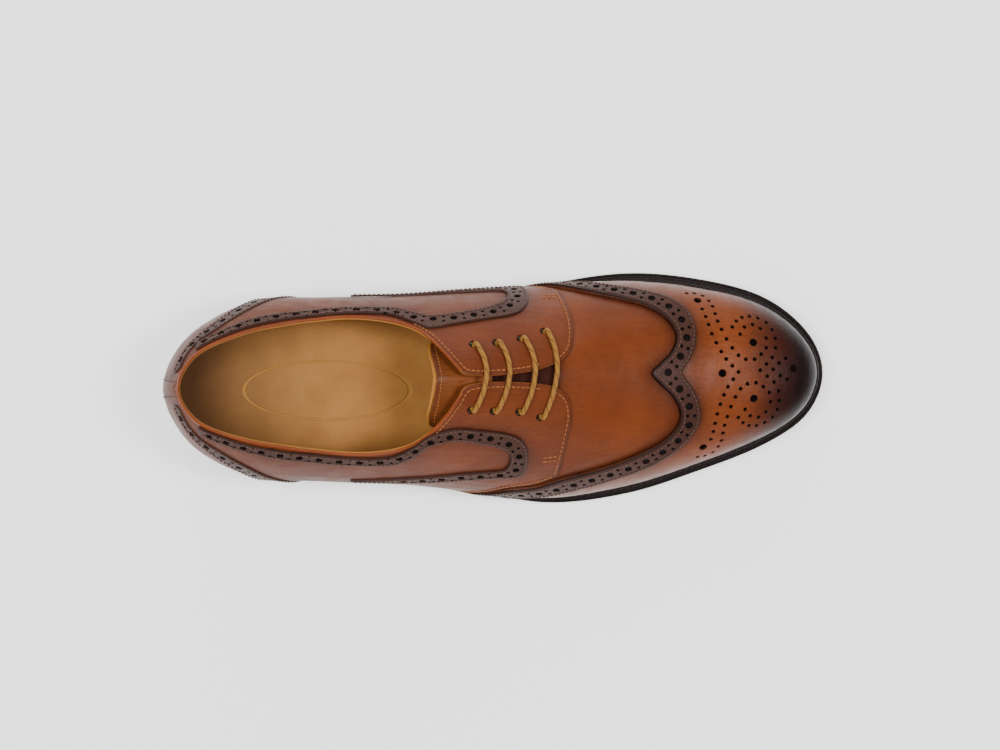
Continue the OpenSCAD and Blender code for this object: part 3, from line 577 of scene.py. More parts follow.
# ---- Materials
class Look:
    """A node material: Object coordinates are the frame's metres, so every size below is real."""
    def __init__(self, name, rough=.5, metal=0, coat=0, coat_rough=.2, sheen=0, specular=.5):
        self.material = bpy.data.materials.new(name)
        self.material.use_nodes = True
        self.tree = self.material.node_tree
        self.shader = self.tree.nodes["Principled BSDF"]
        for socket, value in (("Roughness", rough), ("Metallic", metal), ("Coat Weight", coat),
                              ("Coat Roughness", coat_rough), ("Sheen Weight", sheen),
                              ("Specular IOR Level", specular)):
            self.shader.inputs[socket].default_value = value
        self.place = self.node("ShaderNodeTexCoord").outputs["Object"]
        self.heights = []

    def plug(self, socket, value):
        if isinstance(value, bpy.types.NodeSocket):
            self.tree.links.new(value, socket)
        else:
            socket.default_value = (*value, 1) if socket.type == "RGBA" else value

    def node(self, kind, inputs=(), **settings):
        n = self.tree.nodes.new(kind)
        for key, value in settings.items():
            setattr(n, key, value)
        for key, value in dict(inputs).items():
            self.plug(n.inputs[key], value)
        return n

    def stretched(self, scale, turn=(0, 0, 0)):
        return self.node("ShaderNodeMapping", {"Vector": self.place, "Scale": scale,
                                               "Rotation": turn}).outputs["Vector"]

    def noise(self, scale, detail=3, rough=.55, vector=None, distortion=0):
        return self.node("ShaderNodeTexNoise", {
            "Vector": vector or self.place, "Scale": scale, "Detail": detail, "Roughness": rough,
            "Distortion": distortion}).outputs["Fac"]

    def cells(self, scale):
        return self.node("ShaderNodeTexVoronoi",
                         {"Vector": self.place, "Scale": scale}).outputs["Distance"]

    def wave(self, scale, direction):
        inputs = {"Vector": self.place, "Scale": scale, "Distortion": .6}
        return self.node("ShaderNodeTexWave", inputs, bands_direction=direction).outputs["Fac"]

    def attribute(self, name):
        return self.node("ShaderNodeAttribute", attribute_name=name).outputs["Fac"]

    def math(self, operation, a, b=0.):
        return self.node("ShaderNodeMath", {0: a, 1: b, 2: 0.}, operation=operation).outputs[0]

    def times(self, a, b):
        return self.math("MULTIPLY", a, b)

    def span(self, value, low, high, to_low=0., to_high=1.):
        return self.node("ShaderNodeMapRange", {
            "Value": value, "From Min": low, "From Max": high, "To Min": to_low,
            "To Max": to_high}).outputs["Result"]

    def mix(self, share, a, b):
        return self.node("ShaderNodeMix", {0: share, 6: a, 7: b}, data_type="RGBA").outputs[2]

    def colour(self, value):
        self.plug(self.shader.inputs["Base Color"], value)

    def roughness(self, value):
        self.plug(self.shader.inputs["Roughness"], value)

    def bump(self, height, depth):
        """Adds relief of the given depth in millimetres."""
        self.heights.append((height, depth))

    def done(self):
        last = None
        for height, depth in self.heights:
            inputs = {"Height": height, "Distance": depth * MM, "Strength": 1.}
            if last:
                inputs["Normal"] = last
            last = self.node("ShaderNodeBump", inputs).outputs["Normal"]
        if last:
            self.plug(self.shader.inputs["Normal"], last)
        return self.material


def srgb(r, g, b):
    return tuple((c / 255 / 12.92 if c / 255 < .04045 else ((c / 255 + .055) / 1.055) ** 2.4)
                 for c in (r, g, b))


def calf(name, light, dark, burnt_and_shade, crease_turn=0., crease=.5, rough=.42, coat=.03, toe=False,
         edge=.75, pores=.05, mottle=.35, raw=None, foot=.6, specular=.12):
    """Burnished calf: patina, darkened seams, painted shade beside and under the pieces laid on it,
    fine creases along one direction with painted shade in them, pores.
    """
    k = Look(name, rough, coat=coat, coat_rough=.25, specular=specular)
    patina = k.span(k.noise(30, 3, .6), .36, .66)
    base = k.mix(patina, dark, light)
    cloud = k.span(k.noise(240, 4, .65), .3, .7, 0, mottle)
    base = k.mix(cloud, base, dark)
    base = k.mix(k.span(k.noise(1100, 3, .7), .35, .7, 0, .3), base, dark)
    line = k.stretched((90, 900, 500), (0, 0, crease_turn))
    wave = k.noise(1, 4, .6, line, .6)
    # Painted shade: darker streaks in the hollows of the fine creases, which the same noise bumps.
    crease_shade = k.span(wave, .42, .5, 1, 0)
    base = k.mix(k.times(crease_shade, crease * .4), base, burnt_and_shade)
    # Darker at the piece's own edges (burnish), beside pieces laid on it (burnish and painted
    # shade) and towards the feather line.
    burnish_and_shade = k.math("MAXIMUM", k.attribute("seam"), k.attribute("beside"))
    burnish_and_shade = k.math("MAXIMUM", burnish_and_shade, k.times(k.attribute("foot"), foot))
    burnish_and_shade = k.times(burnish_and_shade, k.span(k.noise(120, 2), .25, .75, .75, 1.15))
    base = k.mix(k.times(burnish_and_shade, edge), base, burnt_and_shade)
    if toe:
        x = k.node("ShaderNodeSeparateXYZ", {"Vector": k.place}).outputs["X"]
        reach = k.math("ADD", x, k.times(k.math("SUBTRACT", k.noise(45, 2), .5), .012))
        low = k.times(k.attribute("foot"), k.span(reach, .08, .125, 0, .026))
        reach = k.math("ADD", reach, low)
        base = k.mix(k.span(reach, .103, .13, 0, .85), base, (.05, .0105, .0065))
        base = k.mix(k.span(reach, .113, .139), base, TOE_BLACK)
    if raw:
        base = k.mix(k.span(k.attribute("rim"), .25, .8, 0, .8), base, raw)
    # Painted shade: near black where another piece lies on this one and on the walls of punched
    # holes; it also makes them matt.
    base = k.mix(k.attribute("shade"), base, (.004, .002, .0015))
    k.colour(base)
    gloss = k.span(k.noise(150, 3), .3, .7, rough - .05, rough + .09)
    k.roughness(k.math("MAXIMUM", gloss, k.attribute("shade")))
    k.bump(wave, crease * .2)
    k.bump(k.noise(420, 3, .6), .1)
    k.bump(k.noise(950, 2), .05)
    k.bump(k.cells(1700), pores)
    return k.done()


# Leather colours are linear, from the shoe's lit top surfaces
COGNAC = (.178, .04, .0075)
COGNAC_DARK = (.115, .0245, .006)
# Dark colours of the burnished edges, also used as painted shade beside laid-on pieces and in the
# creases
BURNT_AND_SHADE = (.026, .0075, .004)
BURNT_AND_SHADE_BAND = (.012, .005, .004)
TOE_BLACK = (.008, .0026, .0027)
RAW_EDGE = (.25, .075, .015)
cap_leather = calf("cap_leather", (.21, .048, .0085), (.14, .03, .007), BURNT_AND_SHADE, math.radians(80),
                   .45, .34, .07, toe=True, edge=.8, specular=.15)
vamp_leather = calf("vamp_leather", COGNAC, COGNAC_DARK, BURNT_AND_SHADE, math.radians(25), .3, edge=.85)
quarter_leather = calf("quarter_leather", (.155, .036, .009), (.1, .0225, .007), BURNT_AND_SHADE,
                       math.radians(8), .35, edge=.5, raw=RAW_EDGE)
band_leather = calf("band_leather", (.066, .025, .016), (.04, .0145, .0095), BURNT_AND_SHADE_BAND,
                    math.radians(20), .25, .46, .05, edge=.5)
# Near black: partly the gimp's own colour, partly painted shadow along the wing band's rear edge
bead_leather = calf("gimp_leather", (.02, .009, .006), (.012, .005, .004), (.008, .004, .003), 0,
                    .2, .42)
# Painted light: paler than the vamp's calf, to lift the tongue where it lies in shade under the
# facings
tongue_leather = calf("tongue_leather", (.21, .06, .015), (.14, .038, .01), BURNT_AND_SHADE, math.radians(85),
                      .5, raw=RAW_EDGE)
# Painted shade: the tongue's root is a dark, matt copy of the calf, for the shade in the gap
# between the facings
root_leather_shaded = calf("root_leather_shaded", (.05, .0165, .012), (.03, .01, .0075), BURNT_AND_SHADE_BAND, 0, .2, .7, 0,
                    specular=0)
binding_leather = calf("binding_leather", (.24, .052, .009), (.15, .03, .006), BURNT_AND_SHADE, 0, .2, .38,
                       .1, edge=.1)


# The plain line on the sock: axis, how far its middle lies back, half its width, in metres
OVAL = (("X", .079, .038), ("Y", .001, .0135))


def lining(name, light, dark, heel, border=False):
    """Lining leather with painted shade: darker towards the heel and along its edges, where the
    inside of the shoe lies in shadow; the sock's has an embossed oval line.
    """
    k = Look(name, .62, specular=.1)
    base = k.mix(k.span(k.noise(60, 3), .35, .65), dark, light)
    base = k.mix(k.span(k.noise(700, 3), .35, .7, 0, .25), base, dark)
    xyz = k.node("ShaderNodeSeparateXYZ", {"Vector": k.place}).outputs
    far = k.math("ADD", xyz["X"], k.times(k.noise(40, 2), .02))
    # Painted shade: towards the heel, and along the edges, the lining turns to the dark heel
    # colour.
    base = k.mix(k.math("POWER", k.span(far, -.128, -.06, .95, 0), 1.4), base, heel)
    base = k.mix(k.times(k.attribute("seam"), .35), base, heel)
    if border:
        across, aside = (k.math("POWER", k.math("DIVIDE", k.math("ADD", xyz[axis], back), half), 2)
                         for axis, back, half in OVAL)
        reach = k.math("SQRT", k.math("ADD", across, aside))
        ring = k.math("ABSOLUTE", k.math("SUBTRACT", reach, 1))
        line = k.span(ring, .015, .032, 1, 0)
        base = k.mix(k.times(line, .5), base, (.42, .2, .04))
        k.bump(line, -.35)
    k.colour(base)
    k.bump(k.noise(300, 3), .1)
    k.bump(k.cells(2600), .02)
    return k.done()


# The third colour is the painted shade deep in the heel.
lining_leather = lining("lining_leather", (.46, .2, .04), (.38, .155, .028), (.1, .042, .014))
sock_leather = lining("sock_leather", (.375, .172, .042), (.31, .135, .032), (.085, .038, .016),
                      True)


def plain(name, light, dark, rough, grain, depth, metal=0, scale=80, specular=.5):
    k = Look(name, rough, metal, specular=specular)
    base = k.mix(k.span(k.noise(scale, 4), .3, .7), dark, light)
    k.colour(k.mix(k.span(k.noise(grain, 3), .3, .7, 0, .4), base, dark))
    k.roughness(k.span(k.noise(scale * 3, 3), .3, .7, rough - .05, rough + .08))
    k.bump(k.noise(grain, 3), depth)
    return k.done()


def edge_dressed(name, light, dark, rough=.34):
    """Waxed edge and top of the sole leather, with fine lines of fibre along it."""
    k = Look(name, rough, coat=.03, coat_rough=.2, specular=.12)
    base = k.mix(k.span(k.noise(90, 3), .3, .7), dark, light)
    lines = k.noise(1, 3, .6, k.stretched((120, 120, 2600)))
    base = k.mix(k.span(lines, .4, .62, 0, .45), base, dark)
    k.colour(base)
    k.bump(lines, .08)
    k.bump(k.noise(900, 3), .04)
    return k.done()


sole_leather = edge_dressed("sole_leather", (.014, .0075, .0065), (.007, .004, .0035))
welt_leather = edge_dressed("welt_leather", (.011, .006, .0055), (.006, .0035, .003))
heel_leather = edge_dressed("heel_leather", (.018, .009, .007), (.009, .0045, .0035), .3)
heel_rubber = plain("heel_rubber", srgb(44, 42, 41), srgb(30, 29, 28), .72, 1500, .06)
nail_brass = plain("nail_brass", (.75, .56, .25), (.5, .36, .15), .32, 900, .01, 1)
shank_steel = plain("shank_steel", (.6, .61, .62), (.42, .43, .44), .3, 1200, .01, 1)
insole_leather = plain("insole_leather", srgb(206, 170, 126), srgb(180, 142, 98), .62, 600, .08)
stiffener_board = plain("stiffener_board", srgb(168, 142, 112), srgb(138, 112, 84), .8, 900, .1)
# Painted shade: the toe puff is near black and matt, as it shows only as the dark floor of the
# medallion's holes
puff_board = plain("puff_board", (.01, .006, .005), (.005, .003, .0025), 1, 900, .1, specular=0)
# Painted shade: near black and matt, for the dark inside of the medallion's holes
shade_cloth = plain("shade_cloth", (.006, .004, .004), (.003, .002, .002), 1, 900, .02,
                      specular=0)
eyelet_metal = plain("eyelet_metal", (.014, .009, .006), (.008, .005, .004), .7, 900, .01,
                     specular=.1)
aglet_plastic = plain("aglet_plastic", srgb(176, 142, 92), srgb(150, 112, 64), .22, 500, .01)


def cork_look():
    k = Look("cork", .85)
    chips = k.cells(420)
    base = k.mix(k.span(chips, .1, .7), srgb(176, 132, 84), srgb(112, 76, 44))
    k.colour(k.mix(k.span(k.noise(900, 3), .5, .7, 0, .6), base, srgb(74, 46, 26)))
    k.bump(chips, .3)
    return k.done()


cork = cork_look()


def woven(name, light, dark, threads, depth):
    k = Look(name, .8, sheen=.15)
    weave = k.times(k.wave(threads, "X"), k.wave(threads, "Y"))
    k.colour(k.mix(weave, dark, light))
    k.bump(weave, depth)
    return k.done()


stay_canvas = woven("stay_canvas", srgb(214, 202, 176), srgb(172, 158, 130), 420, .12)


def thread_look(name, light, dark):
    k = Look(name, .6, sheen=.03, specular=.2)
    k.colour(k.mix(k.span(k.noise(900, 3), .3, .7), dark, light))
    k.bump(k.noise(1, 2, .5, k.stretched((2600, 2600, 2600), (.5, .3, .8))), .05)
    return k.done()


thread_tan = thread_look("thread_tan", (.32, .115, .032), (.19, .062, .016))
thread_brown = thread_look("thread_brown", (.115, .056, .038), (.065, .03, .021))
thread_dark = thread_look("thread_dark", (.022, .012, .01), (.011, .006, .005))


def lace_look():
    k = Look("lace_cotton", .7, sheen=.04, specular=.12)
    fleck = k.attribute("fleck")
    strand = k.attribute("strand")
    # Painted shade: the lace is darker in the hollows between the braid's strands, lighter on their
    # crests
    base = k.mix(strand, (.1, .04, .008), (.33, .15, .027))
    base = k.mix(k.span(k.noise(900, 2), .35, .65, 0, .4), base, (.2, .085, .015))
    k.colour(k.mix(k.times(fleck, .75), base, (.04, .017, .005)))
    k.bump(k.noise(3200, 3), .04)
    return k.done()


lace_cotton = lace_look()


# ---- Outlines of the leather, as chart places (u, t) on one side or (u, v) over the front
TOP = {
    -1: [(0, .58), (.6, .585), (1.2, .60), (1.9, .63), (2.6, .645), (3.2, .635), (3.75, .60),
        (4.3, .572), (4.75, .575), (5.1, .61), (5.35, .67), (5.6, .77), (5.78, .87), (5.9, .945)],
    1: [(0, .58), (.6, .578), (1.2, .582), (1.9, .595), (2.6, .605), (3.2, .59), (3.75, .55),
        (4.3, .528), (4.75, .55), (5.1, .60), (5.35, .67), (5.6, .79), (5.78, .90), (5.9, .97)]}
FACING = {
    -1: [(5.9, .945), (6.2, .963), (6.5, .96), (6.8, .95), (6.97, .938)],
    1: [(5.9, .97), (6.2, .99), (6.5, .985), (6.8, .96), (6.97, .93)]}
FRONT = {
    -1: [(7.08, .43), (7.14, .54), (7.2, .66), (7.25, .77), (7.22, .86), (7.12, .91),
        (6.97, .938)],
    1: [(7.08, .34), (7.17, .46), (7.25, .6), (7.27, .73), (7.23, .83), (7.13, .89), (6.97, .93)]}
LOW = {
    -1: [(0, 0), (1.4, 0), (2.8, 0), (4, 0), (4.9, 0), (5.3, .035), (5.7, .13), (6.1, .235),
        (6.42, .325), (6.8, .375), (7.08, .43)],
    1: [(0, 0), (1.4, 0), (2.8, 0), (4.2, 0), (5.2, 0), (5.95, 0), (6.25, .06), (6.55, .15),
        (6.8, .23), (7.08, .34)]}
WING_REAR = [(5.3, -1), (5.7, -.9), (6.1, -.8), (6.42, -.71), (6.8, -.66), (7.15, -.6),
    (7.7, -.55), (8.1, -.5), (8.45, -.44), (8.66, -.37), (8.77, -.29), (8.77, -.21), (8.67, -.13),
    (8.5, -.06), (8.38, 0), (8.5, .06), (8.65, .13), (8.72, .22), (8.67, .3), (8.5, .4),
    (8.24, .48), (7.9, .54), (7.57, .6), (7.22, .69), (6.9, .8), (6.5, .9), (6.2, 1)]
BAND_REAR = [(u, max(-.995, min(v, .995))) for u, v in WING_REAR]
BAND_FRONT = [(5.55, -.995), (5.95, -.965), (6.22, -.9), (6.6, -.81), (6.95, -.76), (7.3, -.71),
    (7.85, -.66), (8.3, -.61), (8.68, -.52), (8.94, -.41), (9.08, -.31), (9.1, -.2), (9.03, -.1),
    (8.93, -.04), (8.86, 0), (8.9, .04), (9, .11), (9.03, .22), (8.98, .34), (8.8, .48),
    (8.5, .58), (8.1, .64), (7.75, .69), (7.38, .78), (7.05, .88), (6.75, .96), (6.5, .995)]
LOOP_OUT = {
    -1: [(1.5, .59), (2.2, .615), (3.0, .612), (3.6, .58), (4.2, .548), (4.8, .55), (5.15, .61),
        (5.4, .68), (5.75, .715), (6.1, .705), (6.42, .69), (6.6, .66), (6.68, .60), (6.68, .52),
        (6.58, .44), (6.2, .415), (5.8, .39), (5.3, .345), (4.8, .315), (4.3, .315)],
    1: [(1.5, .56), (2.2, .572), (3.0, .568), (3.6, .532), (4.2, .502), (4.8, .52), (5.15, .585),
        (5.4, .635), (5.75, .62), (6.1, .60), (6.42, .582), (6.6, .55), (6.69, .48), (6.69, .38),
        (6.6, .28), (6.25, .27), (5.8, .27), (5.3, .255), (4.8, .24), (4.3, .25)]}
LOOP_IN = {
    -1: [(1.7, .54), (2.3, .562), (2.95, .558), (3.5, .53), (4.15, .495), (4.85, .497),
        (5.15, .545), (5.38, .615), (5.75, .65), (6.05, .635), (6.3, .617), (6.42, .597),
        (6.46, .565), (6.44, .52), (6.36, .48), (6.1, .46), (5.75, .44), (5.3, .40), (4.8, .36),
        (4.3, .33)],
    1: [(1.7, .515), (2.3, .525), (2.95, .515), (3.5, .49), (4.15, .455), (4.85, .468),
        (5.18, .515), (5.42, .55), (5.75, .54), (6.05, .52), (6.28, .49), (6.38, .46), (6.42, .42),
        (6.4, .37), (6.3, .335), (6.05, .325), (5.75, .32), (5.3, .305), (4.8, .28), (4.3, .265)]}
COUNTER_HIGH = [(.75, .55), (1.2, .53), (1.8, .508), (2.4, .483), (2.9, .42), (3.3, .31),
    (3.6, .17), (3.75, .03)]
COUNTER_LOW = [(.5, .50), (1, .475), (1.6, .448), (2.1, .42), (2.55, .365), (2.9, .27),
    (3.15, .15), (3.3, .03)]
EYELETS = {
    -1: [(6.87, -.225), (6.6, -.2), (6.27, -.197), (5.98, -.19)],
    1: [(6.92, .31), (6.62, .27), (6.3, .254), (6.0, .25)]}
TONGUE_SIDE = {
    -1: [(7.2, -.24), (6.6, -.29), (6.0, -.33), (5.48, -.36)],
    1: [(7.2, .26), (6.6, .32), (6.0, .37), (5.48, .385)]}
TONGUE_END = [(5.48, -.36), (5.4, -.345), (5.4, -.29), (5.46, -.2), (5.51, -.1), (5.525, 0),
    (5.51, .1), (5.46, .21), (5.4, .31), (5.4, .37), (5.48, .385)]
TONGUE_BASE = [(7.2, -.24), (7.2, -.12), (7.2, 0), (7.2, .12), (7.2, .26)]
VAMP_REAR = [(5.05, -.97), (5.5, -.84), (5.9, -.71), (6.3, -.6), (6.7, -.5), (6.95, -.38),
    (7.02, -.2), (7.06, -.09), (7.08, -.03), (7.08, .03), (7.06, .09), (7.04, .2), (6.98, .42),
    (6.75, .58), (6.45, .72), (6.15, .86), (5.9, .97)]
# Over the collar and down the facing's edge
UPPER_EDGE = {side: TOP[side] + FACING[side][1:] for side in (-1, 1)}

# Heights over the last's skin. The quarters and the cap have their outer face on the skin.
UPPER_T = 1.2
BAND_H, BAND_LOW = .95, .05
COUNTER_H = .5
BACKSTAY_H = .12
BACKSTAY_LOW = -.3
VAMP_H, VAMP_T = -1.35, .9
BACKING_H, BACKING_LOW = -1.16, -1.24
STAY_H, STAY_LOW = -1.26, -1.5
LINING_H, LINING_T = -3, .5
TONGUE_H, TONGUE_T = -7.8, 1.1
ROOT_H, ROOT_T = -2.6, .8


def wrinkle(turn, long, wide, amount, seed, keep=2.5):
    """A relief of soft folds: direction in degrees, their size along and across, and depth."""
    c, s = math.cos(math.radians(turn)), math.sin(math.radians(turn))

    def lift(flat, depth):
        p = np.stack([(flat[:, 0] * c + flat[:, 1] * s) / long,
                      (-flat[:, 0] * s + flat[:, 1] * c) / wide], -1)
        n = noise(p, 1, seed) + .5 * noise(p * 2.07, 1, seed + 3)
        return amount * n * np.clip(depth / keep, 0, 1)
    return lift


def brogue(line, pitch, big, small, across=1.55, start=0., centre=None):
    """Big holes along a line with a pair of small ones, set across it, between each two."""
    s = lengths(line)
    length = s[-1]
    side = sideways(line)
    if centre is None:
        count = int((length - 2 * start) / pitch)
        spots = start + (length - 2 * start - count * pitch) / 2 + pitch * np.arange(count + 1)
    else:
        spots = centre + pitch * np.arange(-int((centre - start) / pitch),
                                           int((length - start - centre) / pitch) + 1)

    def point(d, off):
        return [np.interp(d, s, line[:, k]) + off * np.interp(d, s, side[:, k]) for k in (0, 1)]
    holes = [(*point(d, 0), big) for d in spots]
    for d in (spots[:-1] + spots[1:]) / 2:
        holes += [(*point(d, off), small) for off in (-across, across)]
    return holes


# ---- Front: vamp, wing cap, medallion and the dark band
rear_edge = run_of(CROWN, BAND_REAR)
front_edge = run_of(CROWN, BAND_FRONT)
band_line = between(rear_edge, front_edge, 400)
band_loop = join(rear_edge, run_of(CROWN, [BAND_REAR[-1], BAND_FRONT[-1]]), front_edge,
                 run_of(CROWN, [BAND_FRONT[0], BAND_REAR[0]]))
cap_rear = run_of(CROWN, WING_REAR)
cap_rear[0], cap_rear[-1] = (flat_point(CROWN, *WING_REAR[end]) for end in (0, -1))
cap_loop = join(cap_rear[::-1], run_of(CROWN, [(u, -1) for u in np.linspace(5.3, TOE, 24)]),
                run_of(CROWN, [(u, 1) for u in np.linspace(TOE, 6.2, 22)]))

# Medallion, in plan: its axis runs through the big holes at its ends
BIG_HOLES = [(116.5, 21), (101.8, 6.9), (116.7, -4.7), (91.5, 40.5), (94.1, -27.1), (135.6, 9.2)]
AXIS_HOLES = [(109.3, 7.5), (119.6, 8.3), (125.8, 8.7)]
HALF_MEDALLION = [(86.8, 43.8), (90.4, 43.8), (94.2, 42.7), (96.8, 40.3), (98.3, 37.7),
    (99.2, 34.3), (100.2, 30.8), (101.8, 27), (103.9, 22.6), (106.5, 18.5), (109.3, 15.1),
    (93.3, 36.4), (94.7, 32.9), (95.8, 29.2), (97.2, 25), (99.1, 20.8), (101.3, 16.8),
    (103.6, 13.4), (106.4, 10.3), (110.4, 24.8), (112.6, 28.1), (116.5, 29.3), (120.1, 27.4),
    (122.7, 23), (122.6, 18.6), (120.1, 15.6), (116.9, 13.3), (112.8, 13.3), (106.9, 28.1),
    (108.9, 30.8), (111.7, 32.6), (115.3, 33.1), (119.3, 32.3), (123.2, 30.3), (125.8, 27),
    (127.1, 23), (127.1, 18.6), (125.4, 14.2), (128.7, 11.6), (131.8, 13.8), (122.6, 11.1)]
BIG_R = 1.72
SMALL_R = .82
axis_from = np.array([101.8, 6.9])
axis_way = unit(np.array([33.8, 2.3]))


def mirrored(p):
    d = np.array(p) - axis_from
    along_axis = (d @ axis_way) * axis_way
    return tuple(axis_from + 2 * along_axis - d)


us = np.linspace(7.6, TOE, 200)
vs = np.linspace(-.86, .86, 173)
PLAN_OF_TOE = Chart(us, vs, at(np.stack(np.meshgrid(us, vs, indexing="ij"), -1), 0)[..., :2])
SMALL_HOLES = AXIS_HOLES + HALF_MEDALLION + [mirrored(p) for p in HALF_MEDALLION]
plan_holes = [(*p, BIG_R) for p in BIG_HOLES] + [(*p, SMALL_R) for p in SMALL_HOLES]
spots = CROWN.to_flat(PLAN_OF_TOE.to_uv(np.array([p[:2] for p in plan_holes])))
clear = (edge_distance(spots, band_loop) > 1.2) & ~inside(spots, band_loop)
cap_holes = [(x, y, p[2]) for (x, y), p, ok in zip(spots.tolist(), plan_holes, clear) if ok]


def cap_relief(flat, depth):
    return wrinkle(88, 9, 2.2, .06, 5)(flat, depth) + wrinkle(80, 30, 16, .12, 9)(flat, depth)


cut("wing_cap", CROWN, cap_loop, cap_leather, 0, -UPPER_T, cap_holes, 1.45, .3, cap_relief,
    under=[band_loop])
# A black sheet close under the medallion: painted shade, which shows through its holes as their
# dark inside
backing_loop = join(*[run_of(CROWN, r) for r in (
    [(7, -.82), (7.4, -.84), (8.4, -.84), (9.6, -.8), (10.6, -.7), (11.4, -.45)],
    [(11.4, -.45), (11.55, 0), (11.4, .45)],
    [(11.4, .45), (10.6, .7), (9.6, .84), (8.4, .9), (7.6, .9), (7.3, .88)],
    [(7.3, .88), (8.1, .45), (8.15, 0), (7.9, -.4), (7, -.82)])])
cut("medallion_backing", CROWN, backing_loop, shade_cloth, BACKING_H, BACKING_LOW, (),
    1.6, .05, slot="cap_leather")
wing_point = int(np.argmin(np.linalg.norm(band_line - flat_point(CROWN, 8.62, 0), axis=1)))
to_point = lengths(band_line)[wing_point]
cut("wing_band", CROWN, band_loop, band_leather, BAND_H, BAND_LOW,
    brogue(band_line, 9.3, 1.55, .68, 1.65, 3, to_point), 1.3, .35, wrinkle(88, 8, 3, .04, 12),
    seam=1.6)

quarter_loop, front_on_crown = {}, {}
for side in (-1, 1):
    quarter_loop[side] = join(*[wall_run(side, pts) for pts in (
        UPPER_EDGE[side], FRONT[side], LOW[side], [(0, 0), (0, .2), (0, .4), (0, .58)])])
    pts = on_side(side, [p for p in LOW[side] if p[0] > 5] + FRONT[side][1:] + FACING[side][::-1])
    tail = run_of(CROWN, [pts[-1], (4.6, side * .3), (4.6, side * .95), pts[0]])
    front_on_crown[side] = np.concatenate([run_of(CROWN, pts)[:-1], tail[:-1]])

vamp_front = run_of(CROWN, [(max(u, 7.2) + .3 if abs(v) < .62 else u + .35, v * .97)
                            for u, v in WING_REAR])
front_ends = [tuple(CROWN.to_uv(vamp_front[end])) for end in (0, -1)]
vamp_loop = join(run_of(CROWN, VAMP_REAR), run_of(CROWN, [VAMP_REAR[-1], front_ends[1]]),
                 vamp_front, run_of(CROWN, [front_ends[0], VAMP_REAR[0]]))


def vamp_relief(flat, depth):
    """Rises towards the skin where nothing lies on it, and creases across where the foot bends."""
    gap = np.full(len(flat), 99.)
    for loop in (cap_loop, front_on_crown[-1], front_on_crown[1]):
        d = edge_distance(flat, loop)
        gap = np.minimum(gap, np.where(inside(flat, loop), -d, d))
    f = np.clip((gap + .6) / 9, 0, 1)
    rise = .95 * f * (2 - f)
    open_share = np.clip(gap / 3, 0, 1)
    long_creases = wrinkle(74, 16, 2.2, .05, 21)(flat, depth)
    swell = wrinkle(70, 40, 16, .14, 23)(flat, depth)
    return rise + (long_creases + swell) * open_share


cut("vamp", CROWN, vamp_loop, vamp_leather, VAMP_H, VAMP_H - VAMP_T, (), 1.1, .5, vamp_relief,
    seam=3.4, under=[cap_loop, (front_on_crown[-1], .7), (front_on_crown[1], .7)])

# ---- Quarters, the bands round their windows, counter bands and the strip on the back seam
rows_tan, rows_dark = [], []
TACKS = {-1: (6.98, .55), 1: (6.98, .42)}
TACK_HALF = (3.4, 1.2)
FACING_HOLE, INNER_HOLE = 1.75, 1.9


def nearer_collar(pts, amount, count=5):
    """The first places of an outline moved up towards the collar."""
    return [(u, t + amount) for u, t in pts[:count]] + pts[count:]


def eyelet_holes(side, r, back=0):
    return [(*flat_point(WALL[side], u - back, v).tolist(), r) for u, v in EYELETS[side]]


for side in (-1, 1):
    c = WALL[side]
    tag = SIDE_NAME[side]
    ends = LOOP_OUT[side], LOOP_IN[side]
    outer = wall_run(side, nearer_collar(LOOP_OUT[side], .01))
    inner = wall_run(side, nearer_collar(LOOP_IN[side], .008))
    loop = join(outer, wall_run(side, [e[-1] for e in ends]), inner,
                wall_run(side, [e[0] for e in ends[::-1]]))
    high = wall_run(side, COUNTER_HIGH)
    low = wall_run(side, COUNTER_LOW)
    counter_loop = join(high, wall_run(side, [COUNTER_HIGH[-1], COUNTER_LOW[-1]]), low,
                        wall_run(side, [COUNTER_LOW[0], (.55, .535), COUNTER_HIGH[0]]))
    creases = wrinkle(6 * side, 26, 2, .07, 31 + side)
    swell = wrinkle(10, 34, 15, .14, 35 + side)

    def quarter_relief(flat, depth, creases=creases, swell=swell):
        return creases(flat, depth) + swell(flat, depth)

    cut("quarter_" + tag, c, quarter_loop[side], quarter_leather, 0, -UPPER_T,
        eyelet_holes(side, FACING_HOLE, .02), 1.6, .4, quarter_relief, seam=1,
        under=[(loop, 2.8), (counter_loop, 2.8)])
    cut("quarter_band_" + tag, c, loop, band_leather, BAND_H, BAND_LOW,
        brogue(between(outer, inner, 400)[:372], 9.2, 1.45, .62, 1.55, 4), 1.3, .3,
        wrinkle(4, 14, 3, .04, 41), seam=1.4)
    cut("counter_band_" + tag, c, counter_loop, band_leather, COUNTER_H, BAND_LOW,
        brogue(between(high, low, 300), 9.2, 1.4, .6, 1.55, 4), 1.3, .3,
        wrinkle(4, 14, 3, .04, 43), seam=1.4)

    # Stitch rows: both edges of each band, the facing, the collar and the quarter's front
    rows_dark += [(c, span(inset(l, .95, loop), 1, -1), BAND_H) for l in (outer, inner)]
    rows_dark += [(c, span(inset(l, .95, counter_loop), 1, -1), COUNTER_H) for l in (high, low)]
    for pts, amount, start, end in (
            ([p for p in TOP[side] if p[0] > 5] + FACING[side][1:], 2.1, 2, -4),
            (FRONT[side], 1.7, 1.5, -3.2), ([p for p in LOW[side] if p[0] > 5.2], 1.6, 1, -1.5)):
        line = inset(wall_run(side, pts), amount, quarter_loop[side])
        rows_tan.append((c, span(line, start, end), 0))
    tack = flat_point(c, *on_side(side, [TACKS[side]])[0])
    long, wide = TACK_HALF
    for step in (-wide, wide):
        rows_tan.append((c, even(tack + np.array([(-long, step), (long, step)]), .8), 0))

